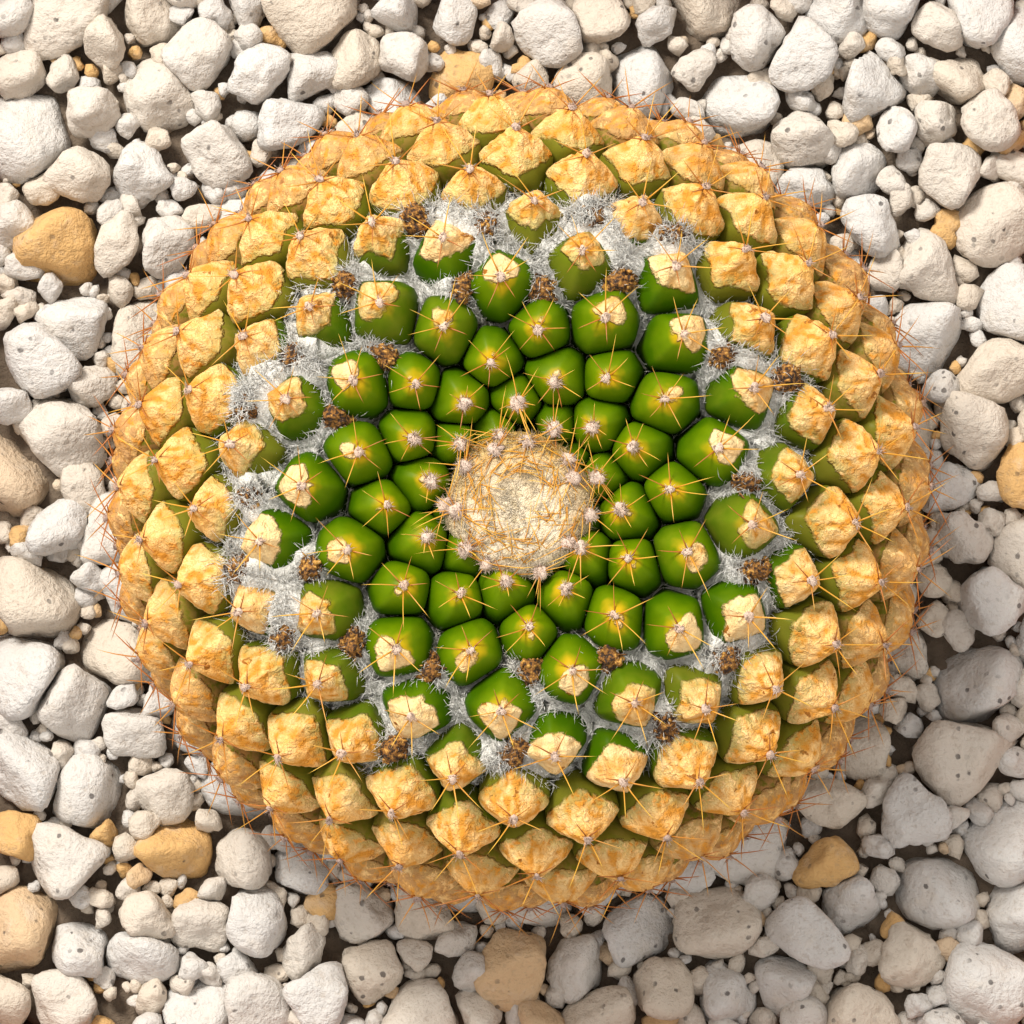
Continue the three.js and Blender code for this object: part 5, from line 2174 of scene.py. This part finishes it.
@dataclass
class ClayPot:
    """The square tapered terracotta pot with its rim band and drain hole."""

    height: float = 112.0
    base_half: float = 61.0
    shoulder_half: float = 83.0
    rim_half: float = 87.5
    band: float = 17.0
    floor: float = 7.0
    inner_floor_half: float = 56.0
    inner_rim_half: float = 82.0
    drain_radius: float = 7.0
    foot_ring: Span = (30.0, 12.0)
    base_edge: float = 1.8
    band_edge: float = 1.2
    rim_edge: float = 2.5
    inner_edge: float = 1.6
    edge_steps: int = 5
    outer_steps: int = 12
    inner_steps: int = 9
    corner_steps: int = 14
    side_steps: int = 22

    def outline(self, half: float, corner: float, level: float) -> Array:
        """Lays out a rounded square, with the same number of places whatever its size.

        Args:
            half: Half its width.
            corner: Radius of its corners.
            level: Its height.

        Returns:
            The places in order.
        """
        reach = half - corner
        local = []
        for step in range(self.corner_steps):
            angle = step / self.corner_steps * QUARTER_TURN
            local.append((reach + corner * math.cos(angle), reach + corner * math.sin(angle)))
        for step in range(self.side_steps):
            local.append((reach - 2 * reach * step / self.side_steps, half))
        places = []
        for quarter in range(4):
            cos, sin = math.cos(quarter * QUARTER_TURN), math.sin(quarter * QUARTER_TURN)
            places += [(x * cos - y * sin, x * sin + y * cos, level) for x, y in local]
        return np.array(places)

    def levels(self) -> list[Ring]:
        """Lays out rings from the drain hole up the outside, over the rim and down the inside.

        Returns:
            Height, half width, corner radius and edge wear of each ring.
        """
        top, foot = self.height, self.height - self.band
        hole = (self.drain_radius, self.drain_radius)
        rings = [(0.0, *hole, 0.2), (0.0, *self.foot_ring, 0.1)]
        rings += self.rounded(0.0, self.base_half - self.base_edge, 10.2, self.base_edge, -90, 0)
        for step in range(1, self.outer_steps):
            share = step / self.outer_steps
            half = self.base_half + (self.shoulder_half - self.base_half) * share
            rings.append((self.base_edge + (foot - 3.0) * share, half, 12 + share, 0.0))
        rings.append((foot - 0.6, self.shoulder_half + 0.1, 13.0, 0.0))
        rings.append((foot - 0.1, self.shoulder_half + 0.8, 13.3, 0.0))
        rings += self.rounded(foot, self.rim_half - self.band_edge, 13.8, self.band_edge, -90, 0)
        straight = self.band - self.band_edge - self.rim_edge
        for step in range(1, 4):
            rings.append((foot + self.band_edge + straight * step / 4, self.rim_half, 15.0, 0.0))
        outer, inner = self.rim_half - self.rim_edge, self.inner_rim_half + self.inner_edge
        rings += self.rounded(top - self.rim_edge, outer, 12.5, self.rim_edge, 0, 90)
        rings += self.rounded(top - 1.8, inner, 10.6, -self.inner_edge, 90, 0)
        for step in range(1, self.inner_steps):
            share = step / self.inner_steps
            half = self.inner_rim_half + (self.inner_floor_half - self.inner_rim_half) * share
            rings.append((top - 2 + (self.floor - top + 2) * share, half, 9 - 3 * share, 0.0))
        rings.append((self.floor, self.inner_floor_half, 6.2, 0.0))
        rings += [(self.floor, *self.foot_ring, 0.0), (self.floor, *hole, 0.0)]
        return rings

    def rounded(
        self, level: float, half: float, corner: float, radius: float, start: float, end: float
    ) -> list[Ring]:
        """Lays out rings over a rounded edge.

        Args:
            level: Height of the edge.
            half: Half width at the rounding's middle.
            corner: Corner radius there.
            radius: Radius of the rounding, below 0 on the inside.
            start: First angle in degrees.
            end: Last angle in degrees.

        Returns:
            The rings.
        """
        rings = []
        for step in range(self.edge_steps + 1):
            angle = math.radians(start + (end - start) * step / self.edge_steps)
            out = radius * math.cos(angle)
            height = level + abs(radius) * (math.sin(angle) + (1 if start < 0 else 0))
            rings.append((height, half + out, corner + out, 1.0))
        return rings

    def build(self, finish: ClayFinish) -> None:
        """Builds the pot from its rings and dresses it.

        Args:
            finish: The clay's finish.
        """
        levels = self.levels()
        rings = np.array([self.outline(half, corner, height) for height, half, corner, _ in levels])
        pattern = Pattern.cuff(rings.shape[1], len(rings))
        outward = unit(rings * np.array((1, 1, 0)) + 1e-6)
        hand = 0.16 * lumps(rings, 30.0, 1.0) + 0.05 * lumps(rings, 9.0, 3.0)
        hand[:2] = 0
        hand = np.minimum(hand, 0.0) * (rings[..., 2] > 0.5)
        rings = rings + outward * hand[..., None]
        heights = np.array([height / self.height for height, _, _, _ in levels])
        edges = np.array([edge for _, _, _, edge in levels])
        marks = {}
        for name, values in (("height", heights), ("edge", edges)):
            spread = np.broadcast_to(values[None, :, None], (1, *rings.shape[:2]))
            marks[name] = pattern.ring_places(spread)
        mesh = pattern.repeat("pot", pattern.ring_places(rings[None]), marks)
        finish_piece("terracotta_pot", mesh, finish.material(), ["pot"])


@dataclass
class Studio:
    """Pale floor, soft light from the upper left and a camera that looks down on the plant."""

    lens: float = 139.0
    sensor: float = 36.0
    distance: float = 550.0
    tilt: float = math.radians(3.6)
    plant_level: float = 124.0
    aim: Span = (-1.1, -1.9)
    floor_size: float = 6000.0
    key_size: float = 0.30
    key_energy: float = 13.0
    key_colour: Colour = (1.0, 0.965, 0.90)
    key_place: Colour = (-0.40, 0.56, 0.84)
    sky_strength: float = 0.86
    sky_colour: Colour = (1.0, 0.975, 0.95)
    floor_dark: Colour = (0.78, 0.77, 0.75)
    floor_light: Colour = (0.82, 0.81, 0.79)

    def build(self) -> None:
        """Makes the floor, the lights and the camera."""
        self.floor()
        self.lights()
        self.camera()

    def floor(self) -> None:
        """Lays a large pale floor under the pot."""
        bm = bmesh.new()
        bmesh.ops.create_grid(bm, x_segments=2, y_segments=2, size=self.floor_size * MM / 2)
        mesh = bpy.data.meshes.new("floor")
        bm.to_mesh(mesh)
        bm.free()
        paint = Paint("pale_floor")
        cloudy = paint.band(paint.noise(60.0), 0.3, 0.7)
        colour = paint.blend(cloudy, self.floor_dark, self.floor_light)
        mesh.materials.append(paint.finish(Base_Color=colour, Roughness=0.8))
        floor = bpy.data.objects.new("floor", mesh)
        bpy.context.scene.collection.objects.link(floor)

    def lights(self) -> None:
        """Hangs a large soft key light at the upper left and sets an even pale sky."""
        key = bpy.data.lights.new("key", "AREA")
        key.shape = "DISK"
        key.size = self.key_size
        key.energy = self.key_energy
        key.color = self.key_colour
        lamp = bpy.data.objects.new("key", key)
        lamp.location = self.key_place
        aim = Vector((0.0, 0.0, self.plant_level * MM)) - lamp.location
        lamp.rotation_euler = aim.to_track_quat("-Z", "Y").to_euler()
        bpy.context.scene.collection.objects.link(lamp)
        world = bpy.data.worlds.new("pale_sky")
        world.use_nodes = True
        sky = world.node_tree.nodes["Background"]
        sky.inputs["Color"].default_value = (*self.sky_colour, 1.0)
        sky.inputs["Strength"].default_value = self.sky_strength
        scene = bpy.context.scene
        scene.world = world
        scene.view_settings.view_transform = "Standard"
        scene.cycles.max_bounces = 3
        scene.cycles.diffuse_bounces = 2
        scene.cycles.glossy_bounces = 1

    def camera(self) -> None:
        """Sets the camera above the plant, a little toward the front, with the photograph's framing."""
        lens = bpy.data.cameras.new("camera")
        lens.lens = self.lens
        lens.sensor_width = self.sensor
        lens.clip_start = 0.01
        lens.clip_end = 50.0
        camera = bpy.data.objects.new("camera", lens)
        camera.rotation_euler = (self.tilt, 0.0, 0.0)
        back = Vector((0.0, -math.sin(self.tilt), math.cos(self.tilt))) * self.distance
        target = Vector((self.aim[0], self.aim[1], self.plant_level))
        camera.location = (target + back) * MM
        bpy.context.scene.collection.objects.link(camera)
        bpy.context.scene.camera = camera


def dress_soil(node: Piece) -> None:
    """Gives the solid potting mix its finish.

    Args:
        node: The mix.
    """
    node.data.materials.clear()
    node.data.materials.append(SoilFinish().material())
    log.info("%s: the solid's own mesh", node.name)


def main() -> None:
    """Loads the frame, builds every piece on it and sets the studio."""
    logging.basicConfig(level=logging.INFO, format="%(name)s: %(message)s")
    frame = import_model()
    dress_soil(frame["nodes"]["potting_mix"])
    ClayPot().build(ClayFinish())
    PumiceDressing().build(PumiceFinish(), SHADED_BED_PUMICE)
    lattice = Lattice(Growth())
    stem = Stem(lattice)
    skin = stem.build(FleshFinish())
    crown = CrownWool(lattice)
    Spines(lattice, crown).build(skin, SpineFinish())
    remains = FlowerRemains(lattice)
    AxilWool(stem, remains.wool_places()).build(WoolFinish())
    Areoles(lattice).build(AREOLE_FELT)
    remains.build(RemainsFinish())
    crown.build(CROWN_FELT)
    crown.build_tufts(TUFT_FELT)
    Studio().build()


if __name__ == "__main__":
    main()
